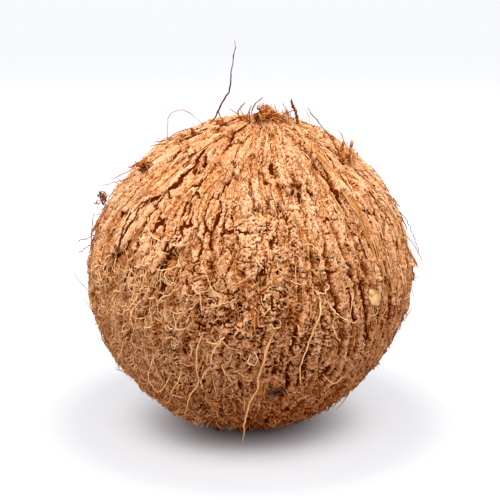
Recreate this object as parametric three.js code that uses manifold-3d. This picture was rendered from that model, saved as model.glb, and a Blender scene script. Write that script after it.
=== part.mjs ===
// A husked coconut in its coat of coir: one solid in millimetres, +Z up, stalk end up.
// The origin is the middle of the small flat spot that it rests on.
//
// The coat is a revolved outline whose surface is raised by a formula into long flat
// plates of torn husk, parted by grooves that run from the stalk end to the rest.
// Loose strands and torn flakes are swept solids with their roots sunk into the coat.

import * as THREE from 'three';
import { mergeVertices } from 'three/addons/utils/BufferGeometryUtils.js';
import Module from 'manifold-3d';

// The outline of the coat.
const GIRTH_RADIUS = 61.2;
const GIRTH_HEIGHT = 57;
const NUT_HEIGHT = 121;
const REST_RADIUS = 14;
const UPPER_CURVE = { bulge: 2.24, shoulder: 0.59 };
const LOWER_CURVE = { bulge: 1.67, shoulder: 0.54 };
const TIP_SHIFT = 6;
const TIP_SHARPNESS = 8;
const LOBE_RELIEF = 0.9;
const LOBE_PHASE = Math.PI / 3;

// The plates of husk: strips round the nut, each broken into plates along its length.
const STRIPS = 48;
const PLATE_EDGES = [0, 0.22, 0.78];
const PLATE_LENGTH = 17;
const PLATE_JITTER = 0.35;
const PLATE_RELIEF = 1.05;
const PLATE_LIP = 0.8;
const GROOVE_DEPTH = 1.25;
const REST_FADE = 13;
const TIP_FADE = 7;
const STEP_RUN = 0.7;

// The strips wander sideways in three slow waves: size in strips, count round, rate along.
const STRIP_WAVES = [
  { size: 0.5, round: 3, along: 0.05, start: 1.3 },
  { size: 0.22, round: 7, along: -0.075, start: 0.4 },
  { size: 0.1, round: 15, along: 0.14, start: 2.1 },
];

// The mesh of the coat: rows along it, and the radii under which columns are dropped.
const ROWS = 30;
const HALF_RADIUS = 38;
const QUARTER_RADIUS = 17;
const MERIDIAN_STEPS = 400;

// Loose strands and flakes.
const ROOT_SUNK = 2;
const STRAND_ROOT = 0.72;
const STRAND_TIP = 0.46;
const STRAND_SIDES = 3;
const STRAND_REACH = [9, 19];
const STRAND_RISE = [1.8, 4.6];
const FLAKE_REACH = [8, 14];
const FLAKE_WIDTH = [2.6, 4.6];
const FLAKE_THICKNESS = 0.95;
const FLAKE_RISE = [1.6, 3.4];
const SCATTER_COUNT = 74;
const SCATTER_LOWEST = 15;
const TUFT_COUNT = 9;
const FLOOR_GAP = 0.4;
const WELD = 0.02;

const GOLDEN_TURN = Math.PI * (3 - Math.sqrt(5));
const LOWER_DEPTH = GIRTH_HEIGHT
  / (1 - (REST_RADIUS / GIRTH_RADIUS) ** (1 / LOWER_CURVE.shoulder)) ** (1 / LOWER_CURVE.bulge);

const wasm = await Module();
wasm.setup();

// A repeatable draw between 0 and 1 for three whole numbers.
function draw(a, b, c) {
  const wave = Math.sin(a * 127.1 + b * 311.7 + c * 74.7) * 43758.5453;
  return wave - Math.floor(wave);
}

function drawBetween([low, high], a, b, c) {
  return low + (high - low) * draw(a, b, c);
}

function smooth(value) {
  const t = Math.min(Math.max(value, 0), 1);
  return t * t * (3 - 2 * t);
}

function outlineRadius(height) {
  if (height < GIRTH_HEIGHT) {
    const drop = (GIRTH_HEIGHT - height) / LOWER_DEPTH;
    return GIRTH_RADIUS * (1 - drop ** LOWER_CURVE.bulge) ** LOWER_CURVE.shoulder;
  }
  const rise = Math.min((height - GIRTH_HEIGHT) / (NUT_HEIGHT - GIRTH_HEIGHT), 1);
  return GIRTH_RADIUS * (1 - rise ** UPPER_CURVE.bulge) ** UPPER_CURVE.shoulder;
}

// The outline measured by its own length, from the edge of the rest to the stalk end.
function measureOutline() {
  const rows = [];
  let length = 0;
  for (let i = 0; i <= MERIDIAN_STEPS; i += 1) {
    const swing = Math.PI * (i / MERIDIAN_STEPS - 0.5);
    const reach = swing < 0 ? GIRTH_HEIGHT : NUT_HEIGHT - GIRTH_HEIGHT;
    const height = GIRTH_HEIGHT + reach * Math.sin(swing);
    const radius = outlineRadius(height);
    const last = rows[i - 1];
    if (last) length += Math.hypot(radius - last.radius, height - last.height);
    rows.push({ radius, height, length });
  }
  return rows;
}

const OUTLINE = measureOutline();
const OUTLINE_LENGTH = OUTLINE[MERIDIAN_STEPS].length;

// The place on the outline where one of its measures reaches a value.
function outlineAt(measure, value) {
  let i = 1;
  while (i < MERIDIAN_STEPS && OUTLINE[i][measure] < value) i += 1;
  const low = OUTLINE[i - 1];
  const high = OUTLINE[i];
  const t = (value - low[measure]) / (high[measure] - low[measure]);
  const run = Math.hypot(high.radius - low.radius, high.height - low.height);
  return {
    radius: low.radius + (high.radius - low.radius) * t,
    height: low.height + (high.height - low.height) * t,
    length: low.length + (high.length - low.length) * t,
    outward: (high.height - low.height) / run,
    upward: (low.radius - high.radius) / run,
  };
}

// A point at an angle round the nut, a length along its outline and a lift off it.
function coatPoint(angle, length, lift) {
  const place = outlineAt('length', length);
  const lobe = LOBE_RELIEF * Math.cos(3 * angle + LOBE_PHASE) * place.radius / GIRTH_RADIUS;
  const radius = place.radius + lobe + lift * place.outward;
  const lean = TIP_SHIFT * (place.height / NUT_HEIGHT) ** TIP_SHARPNESS;
  return new THREE.Vector3(
    lean + radius * Math.cos(angle),
    radius * Math.sin(angle),
    place.height + lift * place.upward,
  );
}

function wander(angle, length) {
  let strips = 0;
  for (const wave of STRIP_WAVES) {
    strips += wave.size * Math.sin(wave.round * angle + wave.along * length + wave.start);
  }
  return strips;
}

// The angle of a place counted in strips, once the strips have wandered.
function stripAngle(place, length) {
  const width = 2 * Math.PI / STRIPS;
  let angle = place * width;
  for (let i = 0; i < 6; i += 1) angle = (place + wander(angle, length)) * width;
  return angle;
}

function plateEnd(strip, plate) {
  const jitter = PLATE_JITTER * (draw(strip, plate, 1) - 0.5);
  return PLATE_LENGTH * (plate + draw(strip, 0, 2) + jitter);
}

// The plate of a strip that a length falls in, with its two ends.
function plateAt(strip, length) {
  let plate = Math.floor(length / PLATE_LENGTH) - 2;
  while (plateEnd(strip, plate + 1) <= length) plate += 1;
  return { plate, low: plateEnd(strip, plate), high: plateEnd(strip, plate + 1) };
}

function reliefFade(length) {
  return smooth(length / REST_FADE) * smooth((OUTLINE_LENGTH - length) / TIP_FADE);
}

// A vertex of the coat: its grooves stay on their row, and the plates' vertices move to
// the two sides of a plate's end, so that the ends are steps.
function coatVertex(column, length, rowLength) {
  const strip = Math.floor(column / PLATE_EDGES.length);
  const edge = PLATE_EDGES[column % PLATE_EDGES.length];
  const angle = stripAngle(strip + edge, length);
  const fade = reliefFade(length);
  if (edge === 0) {
    const depth = GROOVE_DEPTH * (0.5 + draw(strip, plateAt(strip, length).plate, 3));
    return coatPoint(angle, length, -depth * fade);
  }
  const { plate, low, high } = plateAt(strip, length);
  let along = length;
  if (length - low < rowLength) along = low + STEP_RUN;
  if (high - length < rowLength) along = high - STEP_RUN;
  along = Math.min(Math.max(along, length - rowLength, 0), OUTLINE_LENGTH);
  const lip = PLATE_LIP * (0.6 - (along - low) / (high - low));
  const level = PLATE_RELIEF * (2 * draw(strip, plate, 4) - 1);
  const tilt = (edge - 0.5) * (draw(strip, plate, 5) - 0.5) * 2;
  return coatPoint(angle, along, (level + lip + tilt) * fade);
}

function columnStep(radius) {
  if (radius < QUARTER_RADIUS) return 4;
  return radius < HALF_RADIUS ? 2 : 1;
}

// Rows of vertices from the edge of the rest to just under the stalk end.
function coatRows() {
  const rowLength = OUTLINE_LENGTH / ROWS;
  const columns = STRIPS * PLATE_EDGES.length;
  const rows = [];
  for (let row = 0; row < ROWS; row += 1) {
    const length = row * rowLength;
    const step = columnStep(outlineAt('length', length).radius);
    const points = new Map();
    for (let column = 0; column < columns; column += step) {
      const point = row === 0
        ? coatPoint(stripAngle(column / PLATE_EDGES.length, 0), 0, 0)
        : coatVertex(column, length, rowLength);
      point.z = row === 0 ? 0 : Math.max(point.z, FLOOR_GAP);
      points.set(column, point);
    }
    rows.push({ step, points });
  }
  return rows;
}

// The triangles between two rows, where one may have half the columns of the other.
function stitchRows(below, above, columns, addTriangle) {
  const wide = Math.max(below.step, above.step);
  for (let start = 0; start < columns; start += wide) {
    const middle = start + wide / 2;
    const end = (start + wide) % columns;
    const [a, b] = [below.points.get(start), below.points.get(end)];
    const [c, d] = [above.points.get(end), above.points.get(start)];
    if (below.step < above.step) {
      const m = below.points.get(middle);
      addTriangle(a, m, d);
      addTriangle(m, c, d);
      addTriangle(m, b, c);
    } else if (below.step > above.step) {
      const m = above.points.get(middle);
      addTriangle(a, b, m);
      addTriangle(a, m, d);
      addTriangle(b, c, m);
    } else {
      addTriangle(a, b, c);
      addTriangle(a, c, d);
    }
  }
}

// The fan that closes a row on a single point.
function closeRow(row, columns, centre, facesDown, addTriangle) {
  for (let start = 0; start < columns; start += row.step) {
    const a = row.points.get(start);
    const b = row.points.get((start + row.step) % columns);
    if (facesDown) addTriangle(b, a, centre);
    else addTriangle(a, b, centre);
  }
}

function coatGeometry() {
  const columns = STRIPS * PLATE_EDGES.length;
  const rows = coatRows();
  const corners = [];
  const addTriangle = (a, b, c) => corners.push(a, b, c);
  closeRow(rows[0], columns, new THREE.Vector3(0, 0, 0), true, addTriangle);
  for (let row = 1; row < ROWS; row += 1) {
    stitchRows(rows[row - 1], rows[row], columns, addTriangle);
  }
  const tip = coatPoint(0, OUTLINE_LENGTH, 0);
  closeRow(rows[ROWS - 1], columns, tip, false, addTriangle);
  return new THREE.BufferGeometry().setFromPoints(corners);
}

// Merges a closed geometry's shared vertices and makes it a solid that can be joined.
function solidFrom(geometry) {
  geometry.deleteAttribute('normal');
  geometry.deleteAttribute('uv');
  const merged = mergeVertices(geometry);
  return new wasm.Manifold(new wasm.Mesh({
    numProp: 3,
    vertProperties: new Float32Array(merged.attributes.position.array),
    triVerts: new Uint32Array(merged.index.array),
  }));
}

// Bends a tapered column along a smooth route: its x spreads sideways over the coat, its
// y runs along the route from root to tip, and its z stands off the coat.
function sweep(column, route) {
  const curve = new THREE.CatmullRomCurve3(route, false, 'centripetal');
  const middle = new THREE.Vector3(0, 0, GIRTH_HEIGHT);
  const place = column.attributes.position;
  for (let i = 0; i < place.count; i += 1) {
    const t = Math.min(Math.max(place.getY(i), 0), 1);
    const centre = curve.getPoint(t);
    const along = curve.getTangent(t);
    const outward = centre.clone().sub(middle);
    const side = new THREE.Vector3().crossVectors(along, outward).normalize();
    const off = new THREE.Vector3().crossVectors(side, along);
    centre.addScaledVector(side, place.getX(i)).addScaledVector(off, place.getZ(i));
    place.setXYZ(i, centre.x, centre.y, Math.max(centre.z, FLOOR_GAP));
  }
  return solidFrom(column);
}

function strand(route, steps, root = STRAND_ROOT, tip = STRAND_TIP) {
  const column = new THREE.CylinderGeometry(tip, root, 1, STRAND_SIDES, steps);
  column.translate(0, 0.5, 0);
  return sweep(column, route);
}

function flake(route, steps, width) {
  const half = Math.SQRT1_2;
  const column = new THREE.CylinderGeometry(0.6 * half, half, 1, 4, steps, false, Math.PI / 4);
  column.translate(0, 0.5, 0);
  column.scale(width, 1, FLAKE_THICKNESS * 1.2);
  return sweep(column, route);
}

// A point over the coat: degrees round, height, and lift off the outline.
function over(degrees, height, lift) {
  return coatPoint(THREE.MathUtils.degToRad(degrees), outlineAt('height', height).length, lift);
}

function free(x, y, z) {
  return new THREE.Vector3(x, y, z);
}

// The strands that stand out on the stalk end and the shoulders.
function crownStrands() {
  const tall = [
    over(188, 116, -ROOT_SUNK), free(-11.4, 0.6, 121.5), free(-8.7, 0, 126.2),
    free(-6.6, -0.4, 129.6), free(-5.3, -0.4, 135), free(-4.7, 0, 142), free(-4.3, 0.2, 146),
    free(-4.8, 0.2, 148.4),
  ];
  const tallFork = [over(255, 119.6, -ROOT_SUNK), free(-5.6, -1.5, 122.6), free(-8.2, -0.3, 126.6)];
  const ragged = [over(352, 118.6, -ROOT_SUNK), free(18.2, -2.4, 122.2), free(16.3, -2, 127.2)];
  const short = [over(8, 119, -ROOT_SUNK), free(15, 1.5, 122), free(12.8, 1.8, 126)];
  const leaning = [over(346, 112, -ROOT_SUNK), free(25.6, -4.4, 118.4), free(20.9, -3.2, 123.6)];
  const loop = [
    over(178, 109, -ROOT_SUNK), free(-30.2, 1, 115.6), free(-29.4, 0.4, 120.2),
    free(-25.4, -0.4, 122.4), free(-20.6, -0.8, 120.6), over(186, 116.5, -ROOT_SUNK),
  ];
  const back = [over(96, 114, -ROOT_SUNK), free(2, 27, 119), free(6, 22, 124)];
  return [
    strand(tall, 9, 0.85, 0.5), strand(tallFork, 3, 0.7, 0.5), strand(ragged, 3, 0.95),
    strand(short, 3), strand(leaning, 3), strand(loop, 7, 0.6, 0.6), strand(back, 3),
  ];
}

// The strands that hang in front, from the girth down to the rest.
function frontStrands() {
  const hanging = [
    over(280, 56, -ROOT_SUNK), over(276.5, 50.5, 1.2), free(5.4, -60.4, 43.5),
    free(3.8, -59.4, 38.6), free(3.4, -58, 33.4), free(0.8, -56, 27.4), free(-0.8, -53.6, 19.6),
    free(-1.9, -50.6, 10),
  ];
  const rib = [
    over(295, 67, -ROOT_SUNK), over(294, 61, 1.4), over(291, 54, 2.2), over(289, 47, 2.4),
    over(288, 41, 2.6), over(289.5, 34.5, 3),
  ];
  const arch = [
    over(296.5, 66, -ROOT_SUNK), over(300, 59.5, 1.8), over(305.5, 56, 3),
    over(311.5, 55.4, -ROOT_SUNK),
  ];
  const curl = [
    over(265, 56.5, -ROOT_SUNK), over(261.5, 52.6, 1.6), over(259, 49, 2.4), over(258, 44.5, 2.6),
  ];
  const long = [
    over(256, 55.5, -ROOT_SUNK), over(253.5, 49, 1.5), over(252.7, 42, 2.4), over(252, 35, 2.2),
    over(247.5, 29.5, 3), over(243, 22.5, 3), over(237, 16, 3),
  ];
  const loop = [
    over(239, 48.5, -ROOT_SUNK), over(235, 40.5, 2), over(231, 32.5, 3), over(233, 28.6, 3),
    over(238, 32, 2), over(241, 38, -ROOT_SUNK),
  ];
  const hook = [
    over(246.5, 42, -ROOT_SUNK), over(244, 34.5, 2), over(239.5, 29, 3), over(244.5, 28, 3),
  ];
  const low = [over(301, 33.5, -ROOT_SUNK), over(304.5, 31.6, 2), over(308.5, 34.5, 2.4)];
  return [
    strand(hanging, 10, 0.75, 0.5), strand(rib, 6), strand(arch, 5, 0.6, 0.6), strand(curl, 4),
    strand(long, 8), strand(loop, 7, 0.6, 0.6), strand(hook, 4), strand(low, 3),
  ];
}

// The strands and torn flakes that break the outline at the two sides.
function sideStrands() {
  const right = [
    over(358, 88, -ROOT_SUNK), over(359, 81, 1.6), over(0, 72, 3.6), over(0.5, 65, 4.6),
  ];
  const faint = [over(1, 54, -ROOT_SUNK), over(0, 48, 2), over(359, 41, 3.4)];
  const tuftUpper = [over(181, 76, -ROOT_SUNK), over(180, 72.5, 2), over(179.5, 70.5, 6)];
  const tuftLower = [over(184, 73, -ROOT_SUNK), over(183, 70, 1.6), over(182.5, 67, 4.6)];
  const leftLow = [over(178, 46, -ROOT_SUNK), over(179, 53, 2.4), over(180, 59.5, 7)];
  const leftHigh = [over(186, 99, -ROOT_SUNK), over(184, 95, 1.4), over(182.5, 91, 5)];
  const chunk = [over(351, 112, -ROOT_SUNK), over(351.5, 108.5, 0.8), over(352, 105, 3.4)];
  const girthFlake = [over(1, 74, -ROOT_SUNK), over(0.5, 69, 0.8), over(0, 64, 3)];
  const shoulderFlake = [over(190, 108, -ROOT_SUNK), over(190, 103.5, 0.8), over(190, 99, 2.8)];
  return [
    strand(right, 5), strand(faint, 3), strand(tuftUpper, 3), strand(tuftLower, 3),
    strand(leftLow, 4), strand(leftHigh, 3), flake(chunk, 3, 6), flake(girthFlake, 3, 4.6),
    flake(shoulderFlake, 3, 4),
  ];
}

// One scattered strand or flake: it leaves the coat at its root, runs down the nut or, on
// some strands, up it, and lifts away towards its tip.
function scattered(index) {
  const height = SCATTER_LOWEST + (NUT_HEIGHT - 6 - SCATTER_LOWEST) * (index + 0.5) / SCATTER_COUNT;
  const root = outlineAt('height', height);
  const angle = GOLDEN_TURN * index + 0.3 * draw(index, 0, 6);
  const isFlake = index % 3 === 0;
  const reach = drawBetween(isFlake ? FLAKE_REACH : STRAND_REACH, index, 1, 6);
  const rise = drawBetween(isFlake ? FLAKE_RISE : STRAND_RISE, index, 2, 6);
  const drift = (draw(index, 3, 6) - 0.5) * (isFlake ? 0.3 : 1.5);
  const curl = (draw(index, 4, 6) - 0.5) * (isFlake ? 0.2 : 1.6);
  const goesUp = !isFlake && draw(index, 5, 6) > 0.62;
  const steps = isFlake ? 3 : 4;
  const route = [];
  for (let i = 0; i <= steps; i += 1) {
    const t = i / steps;
    const heading = drift + curl * t;
    const along = root.length + (goesUp ? 1 : -1) * reach * t * Math.cos(heading);
    const length = Math.min(Math.max(along, 2), OUTLINE_LENGTH - 2);
    const radius = Math.max(outlineAt('length', length).radius, 6);
    const turn = angle + reach * t * Math.sin(heading) / radius;
    const point = coatPoint(turn, length, -ROOT_SUNK + (ROOT_SUNK + rise) * t ** 0.8);
    point.z = Math.max(point.z, FLOOR_GAP + STRAND_ROOT);
    route.push(point);
  }
  if (isFlake) return flake(route, 2, drawBetween(FLAKE_WIDTH, index, 6, 6));
  return strand(route, 3);
}

// The ragged ring of strand ends round the stalk end.
function tuft(index) {
  const angle = 2 * Math.PI * (index + 0.6 * draw(index, 0, 7)) / TUFT_COUNT;
  const root = OUTLINE_LENGTH - 5 - 7 * draw(index, 1, 7);
  const reach = 5 + 6 * draw(index, 2, 7);
  const lean = 0.3 * (draw(index, 3, 7) - 0.5);
  const route = [0, 0.5, 1].map((t) => {
    const lift = -ROOT_SUNK + (ROOT_SUNK + 3.6) * t;
    return coatPoint(angle + lean * t, root - reach * t * (index % 2 ? 1 : -0.35), lift);
  });
  return strand(route, 2);
}

function buildCoconut() {
  let coconut = solidFrom(coatGeometry());
  const pieces = [...crownStrands(), ...frontStrands(), ...sideStrands()];
  for (let index = 0; index < SCATTER_COUNT; index += 1) pieces.push(scattered(index));
  for (let index = 0; index < TUFT_COUNT; index += 1) pieces.push(tuft(index));
  for (const piece of pieces) coconut = coconut.add(piece);
  const { vertProperties, triVerts } = coconut.simplify(WELD).getMesh();
  const geometry = new THREE.BufferGeometry();
  geometry.setAttribute('position', new THREE.BufferAttribute(vertProperties, 3));
  geometry.setIndex(new THREE.BufferAttribute(triVerts, 1));
  geometry.computeVertexNormals();
  return geometry;
}

const coir = new THREE.MeshStandardMaterial({ color: 0xb07c4c, roughness: 0.92, metalness: 0 });

const coconut = new THREE.Mesh(buildCoconut(), coir);
coconut.name = 'coconut';

const part = new THREE.Group();
part.add(coconut);

export default part;
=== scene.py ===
"""A husked coconut in its coat of coir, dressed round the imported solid.

The coat, its torn plates, crumbs and fibres are all laid out on one outline: an angle
round the nut, a length along the outline from the rest to the stalk end, and a lift off
it. Lengths and lifts are in millimetres; the meshes are in metres. Degrees round the nut
start at the right: the back is at 90, the left at 180 and the front at 270.
"""

import math

import bpy
import numpy as np
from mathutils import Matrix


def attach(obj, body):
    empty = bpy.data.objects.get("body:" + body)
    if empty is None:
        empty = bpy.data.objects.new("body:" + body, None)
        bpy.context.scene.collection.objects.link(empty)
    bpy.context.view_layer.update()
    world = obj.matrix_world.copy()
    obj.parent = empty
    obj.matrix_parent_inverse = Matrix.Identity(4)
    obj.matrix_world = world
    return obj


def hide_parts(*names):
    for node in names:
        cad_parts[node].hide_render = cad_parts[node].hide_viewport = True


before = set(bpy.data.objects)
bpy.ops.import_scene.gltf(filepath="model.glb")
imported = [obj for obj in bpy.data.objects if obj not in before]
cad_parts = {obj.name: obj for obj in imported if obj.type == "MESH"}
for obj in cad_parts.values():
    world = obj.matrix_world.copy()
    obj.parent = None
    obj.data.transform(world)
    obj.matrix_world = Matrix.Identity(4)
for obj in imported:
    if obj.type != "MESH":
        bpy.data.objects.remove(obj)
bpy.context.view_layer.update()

bl_info = {
    "name": "Husked Coconut",
    "version": (1, 0, 0),
    "blender": (4, 5, 0),
    "location": "3D View > Sidebar > Coconut",
    "description": "Builds a husked coconut with its coat of coir, torn plates and strands",
    "category": "Add Mesh",
}

NODE = "coconut"
BODY = "root"
MILLIMETRE = 0.001

# The coat's form, as the solid has it.
UPPER_BULGE, UPPER_SHOULDER = 2.24, 0.59
LOWER_BULGE, LOWER_SHOULDER = 1.67, 0.54
TIP_SHARPNESS = 8
LOBE_RELIEF, LOBE_PHASE = 0.9, math.pi / 3
STRIPS = 48
PLATE_JITTER = 0.35
PLATE_LIP = 0.5
REST_FADE, TIP_FADE = 13.0, 7.0
STRIP_WAVES = ((0.5, 3, 0.05, 1.3), (0.22, 7, -0.075, 0.4), (0.1, 15, 0.14, 2.1))
OUTLINE_STEPS = 1600
GOLDEN_TURN = math.pi * (3 - math.sqrt(5))

# The loose strands and flakes of the solid.
ROOT_SUNK = 2.0
SCATTER_COUNT = 74
SCATTER_LOWEST, SCATTER_TOP_GAP = 15.0, 6.0
TUFT_COUNT = 9


def linear(hex_colour):
    """The linear RGB of an sRGB colour given as '#rrggbb'."""
    channels = [int(hex_colour[i:i + 2], 16) / 255 for i in (1, 3, 5)]
    return tuple(c / 12.92 if c <= 0.04045 else ((c + 0.055) / 1.055) ** 2.4 for c in channels)


def length_property(name, description, millimetres):
    """A size in the sidebar, in metres."""
    return bpy.props.FloatProperty(
        name=name, description=description, default=millimetres * MILLIMETRE,
        min=0.0, precision=5, unit="LENGTH")


def colour_property(name, description, hex_colour):
    """A colour in the sidebar, from its sRGB hex value."""
    return bpy.props.FloatVectorProperty(
        name=name, description=description, default=linear(hex_colour),
        size=3, min=0.0, max=1.0, subtype="COLOR")


def count_property(name, description, count):
    """A number of pieces in the sidebar."""
    return bpy.props.IntProperty(name=name, description=description, default=count, min=0)


class CoconutSizes(bpy.types.PropertyGroup):
    """Sizes of the nut, its plates, crumbs and fibres."""

    girth_radius: length_property("Girth Radius", "Mean radius of the coat at the girth", 61.2)
    girth_height: length_property("Girth Height", "Height of the widest level", 57.0)
    nut_height: length_property("Nut Height", "Height of the coat at the stalk end", 121.0)
    rest_radius: length_property("Rest Radius", "Radius of the flat spot it rests on", 14.0)
    tip_shift: length_property("Tip Shift", "How far the stalk end leans to the right", 6.0)
    plate_length: length_property("Plate Length", "Mean length of a torn husk plate", 17.0)
    plate_relief: length_property("Plate Relief", "How far plates stand in or out", 1.05)
    groove_depth: length_property("Groove Depth", "Depth of the grooves between strips", 1.5)
    fibre_thickness: length_property("Fibre Thickness", "Thickness of a matted fibre", 0.4)
    fuzz_thickness: length_property("Fuzz Thickness", "Thickness of the short fuzz", 0.24)
    strand_thickness: length_property("Strand Thickness", "Root of a loose strand", 1.0)
    flake_count: count_property("Flakes", "Number of torn scraps of husk on the coat", 600)
    crumb_count: count_property("Crumbs", "Number of small flakes of pith on the coat", 1300)
    fibre_count: count_property("Fibres", "Matted fibres, before each part takes its share", 4000)
    fuzz_count: count_property("Fuzz", "Number of short hairs standing off the coat", 2400)


class CoconutColours(bpy.types.PropertyGroup):
    """Colours of the coat and of the stage."""

    # The pit colour is painted shade deep in the grooves and cracks and under torn edges.
    pit: colour_property("Pit", "Deep in the grooves and under torn edges", "#541B06")
    old_coir: colour_property("Old Coir", "The darker weathered coir", "#944A14")
    coir: colour_property("Coir", "The usual brown of the matted coir", "#B87643")
    fresh_coir: colour_property("Fresh Coir", "Freshly torn coir", "#CE996B")
    pale_pith: colour_property("Pale Pith", "The palest crumbs and torn edges", "#DEB38F")
    fresh_fibre: colour_property("Fresh Fibre", "Freshly torn loose fibres", "#D4995E")
    pale_fibre: colour_property("Pale Fibre", "The palest loose fibres", "#F2C290")
    chip: colour_property("Chip", "The few bare chips of pith", "#EDBE82")
    # The weathered tint darkens the nut towards its bottom: painted shade of the underside, and
    # partly darker coir there.
    weathered: colour_property("Weathered", "Tint of the underside", "#DAA673")
    paper: colour_property("Paper", "The seamless paper it stands on", "#F3F4F8")


def draw(a, b, c):
    """A repeatable draw between 0 and 1 for whole numbers, the same as the solid's."""
    wave = np.sin(np.asarray(a) * 127.1 + np.asarray(b) * 311.7 + c * 74.7) * 43758.5453
    return wave - np.floor(wave)


def between(low, high, share):
    """The value a share of the way from low to high."""
    return low + (high - low) * share


def smooth(value):
    """An S-shaped rise from 0 to 1 as value goes from 0 to 1."""
    t = np.clip(value, 0.0, 1.0)
    return t * t * (3 - 2 * t)


def near_angle(angle, degrees, width):
    """1 at an angle round the nut, falling off over a width in degrees."""
    turn = (np.degrees(angle) - degrees + 180) % 360 - 180
    return np.exp(-(turn / width) ** 2)


# Middles of the regions of the coat, in degrees round the nut.
BACK, LEFT, FRONT, RIGHT = 90, 222, 264, 335

# How far the ragged layers raise the coat on average, and how deep its gaps are.
LAYERS_MEAN = 0.5
GAP_DEPTH = 0.7
# A point with no crack or gap near it, in millimetres outside one.
NO_GAP = 9.0
# Ragged layers of flakes: pitch, size across and along, sway and seed, then how far a
# flake rises and how wide the gap under it is.
FLAKE_LAYERS = (((5.5, 4.2, 3.8, 1.15, 55), 0.95, 0.46), ((2.6, 2.2, 1.7, 0.95, 61), 0.5, 0.26))

# All cracks are drawn this much as wide as the list says.
CRACK_WIDTH = 0.95
# Cracks that stand out: half their width in millimetres, then degrees round and heights.
CRACKS = (
    (0.34, (224, 110.2), (223, 105.7), (222, 101.2)),
    (0.55, (221, 97.8), (221, 96.2), (219, 93.8), (218, 91.9), (216, 88.5)),
    (0.50, (229, 95.5), (229, 93.6), (226, 91.0), (226, 87.7), (224, 85.1)),
    (0.95, (235, 92.5), (234, 89.7), (232, 86.3)),
    (0.55, (246, 95.6), (246, 92.2), (247, 90.4), (243, 88.9), (243, 85.7), (242, 82.9)),
    (0.55, (253, 100.0), (252, 95.7), (252, 92.2)),
    (0.40, (260, 97.0), (260, 92.1), (260, 89.1), (264, 89.1), (269, 88.4), (269, 90.6)),
    (0.60, (238, 100.8), (240, 101.8), (244, 102.6)),
    (0.55, (198, 101.6), (194, 96.4)),
    (0.45, (183, 110.0), (187, 106.0)),
    (0.70, (179, 115.6), (201, 114.4)),
    (0.45, (209, 112.0), (214, 108.0), (216, 104.5)),
    (0.50, (204, 92.0), (203, 86.5), (202, 82.0)),
    (0.95, (279, 108.6), (280, 107.6), (280, 105.9)),
    (0.55, (275, 103.9), (278, 103.7)),
    (0.85, (288, 101.9), (291, 102.6), (295, 102.2)),
    (0.55, (292, 101.0), (292, 97.2)),
    (0.45, (296, 102.6), (298, 100.4), (300, 98.0)),
    (0.62, (305, 114.2), (307, 110.3), (309, 106.8), (311, 101.3), (313, 94.0), (313, 89.4)),
    (0.45, (326, 111.9), (325, 108.0)),
    (0.45, (323, 104.4), (323, 101.3)),
    (0.55, (320, 93.5), (324, 90.9), (326, 87.2)),
    (0.65, (311, 88.9), (314, 83.9), (314, 80.0), (315, 75.0)),
    (0.50, (325, 82.3), (328, 77.2)),
    (0.50, (339, 79.4), (337, 73.6)),
    (0.42, (300, 91.3), (303, 90.8), (306, 90.0)),
    (0.95, (232, 73.8), (232, 69.6)),
    (1.00, (242, 73.0), (240, 67.9), (239, 62.4)),
    (0.60, (249, 72.9), (250, 69.8)),
    (0.45, (226, 70.0), (225, 64.0), (223, 57.9)),
    (0.45, (237, 66.9), (235, 58.8)),
    (0.95, (248, 50.0), (248, 44.9)),
    (0.95, (237, 35.2), (236, 31.0)),
    (0.50, (267, 66.7), (268, 62.6)),
    (1.60, (279, 27.4), (284, 26.6)),
    (0.75, (312, 64.5), (314, 54.2), (317, 43.2), (318, 35.7)),
    (0.55, (302, 54.5), (304, 46.7), (305, 39.1)),
    (0.50, (296, 49.3), (297, 38.3)),
    (0.50, (290, 47.7), (293, 31.2)),
    (0.55, (323, 67.5), (323, 57.5)),
    (0.50, (306, 67.9), (307, 56.3)),
    (0.45, (278, 67.6), (278, 61.4)),
    (0.45, (259, 87.4), (265, 88.8)),
    (0.55, (118, 104.0), (121, 96.0), (120, 88.0)),
    (0.60, (70, 100.0), (68, 92.0), (70, 84.0)),
    (0.50, (40, 92.0), (42, 84.0), (41, 76.0)),
    (0.60, (140, 84.0), (142, 75.0)),
    (0.70, (98, 66.0), (97, 54.0)),
    (0.55, (20, 74.0), (21, 62.0)),
    (0.60, (160, 66.0), (161, 54.0)),
)

# The straight pale bundle at the right of the longest crack.
BUNDLE_ROUTE = ((322, 118), (311, 113.1), (314, 104.8), (316.5, 96.2), (318.5, 87.6),
                (319.5, 80.6), (320.5, 72), (321, 64))

# Gentle swellings: degrees round, height, how far each reaches in degrees and in height,
# and their lift.
SWELLINGS = ((192, 113, 34, 7, 1.7), (345, 110, 26, 8, -1.2))


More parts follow.
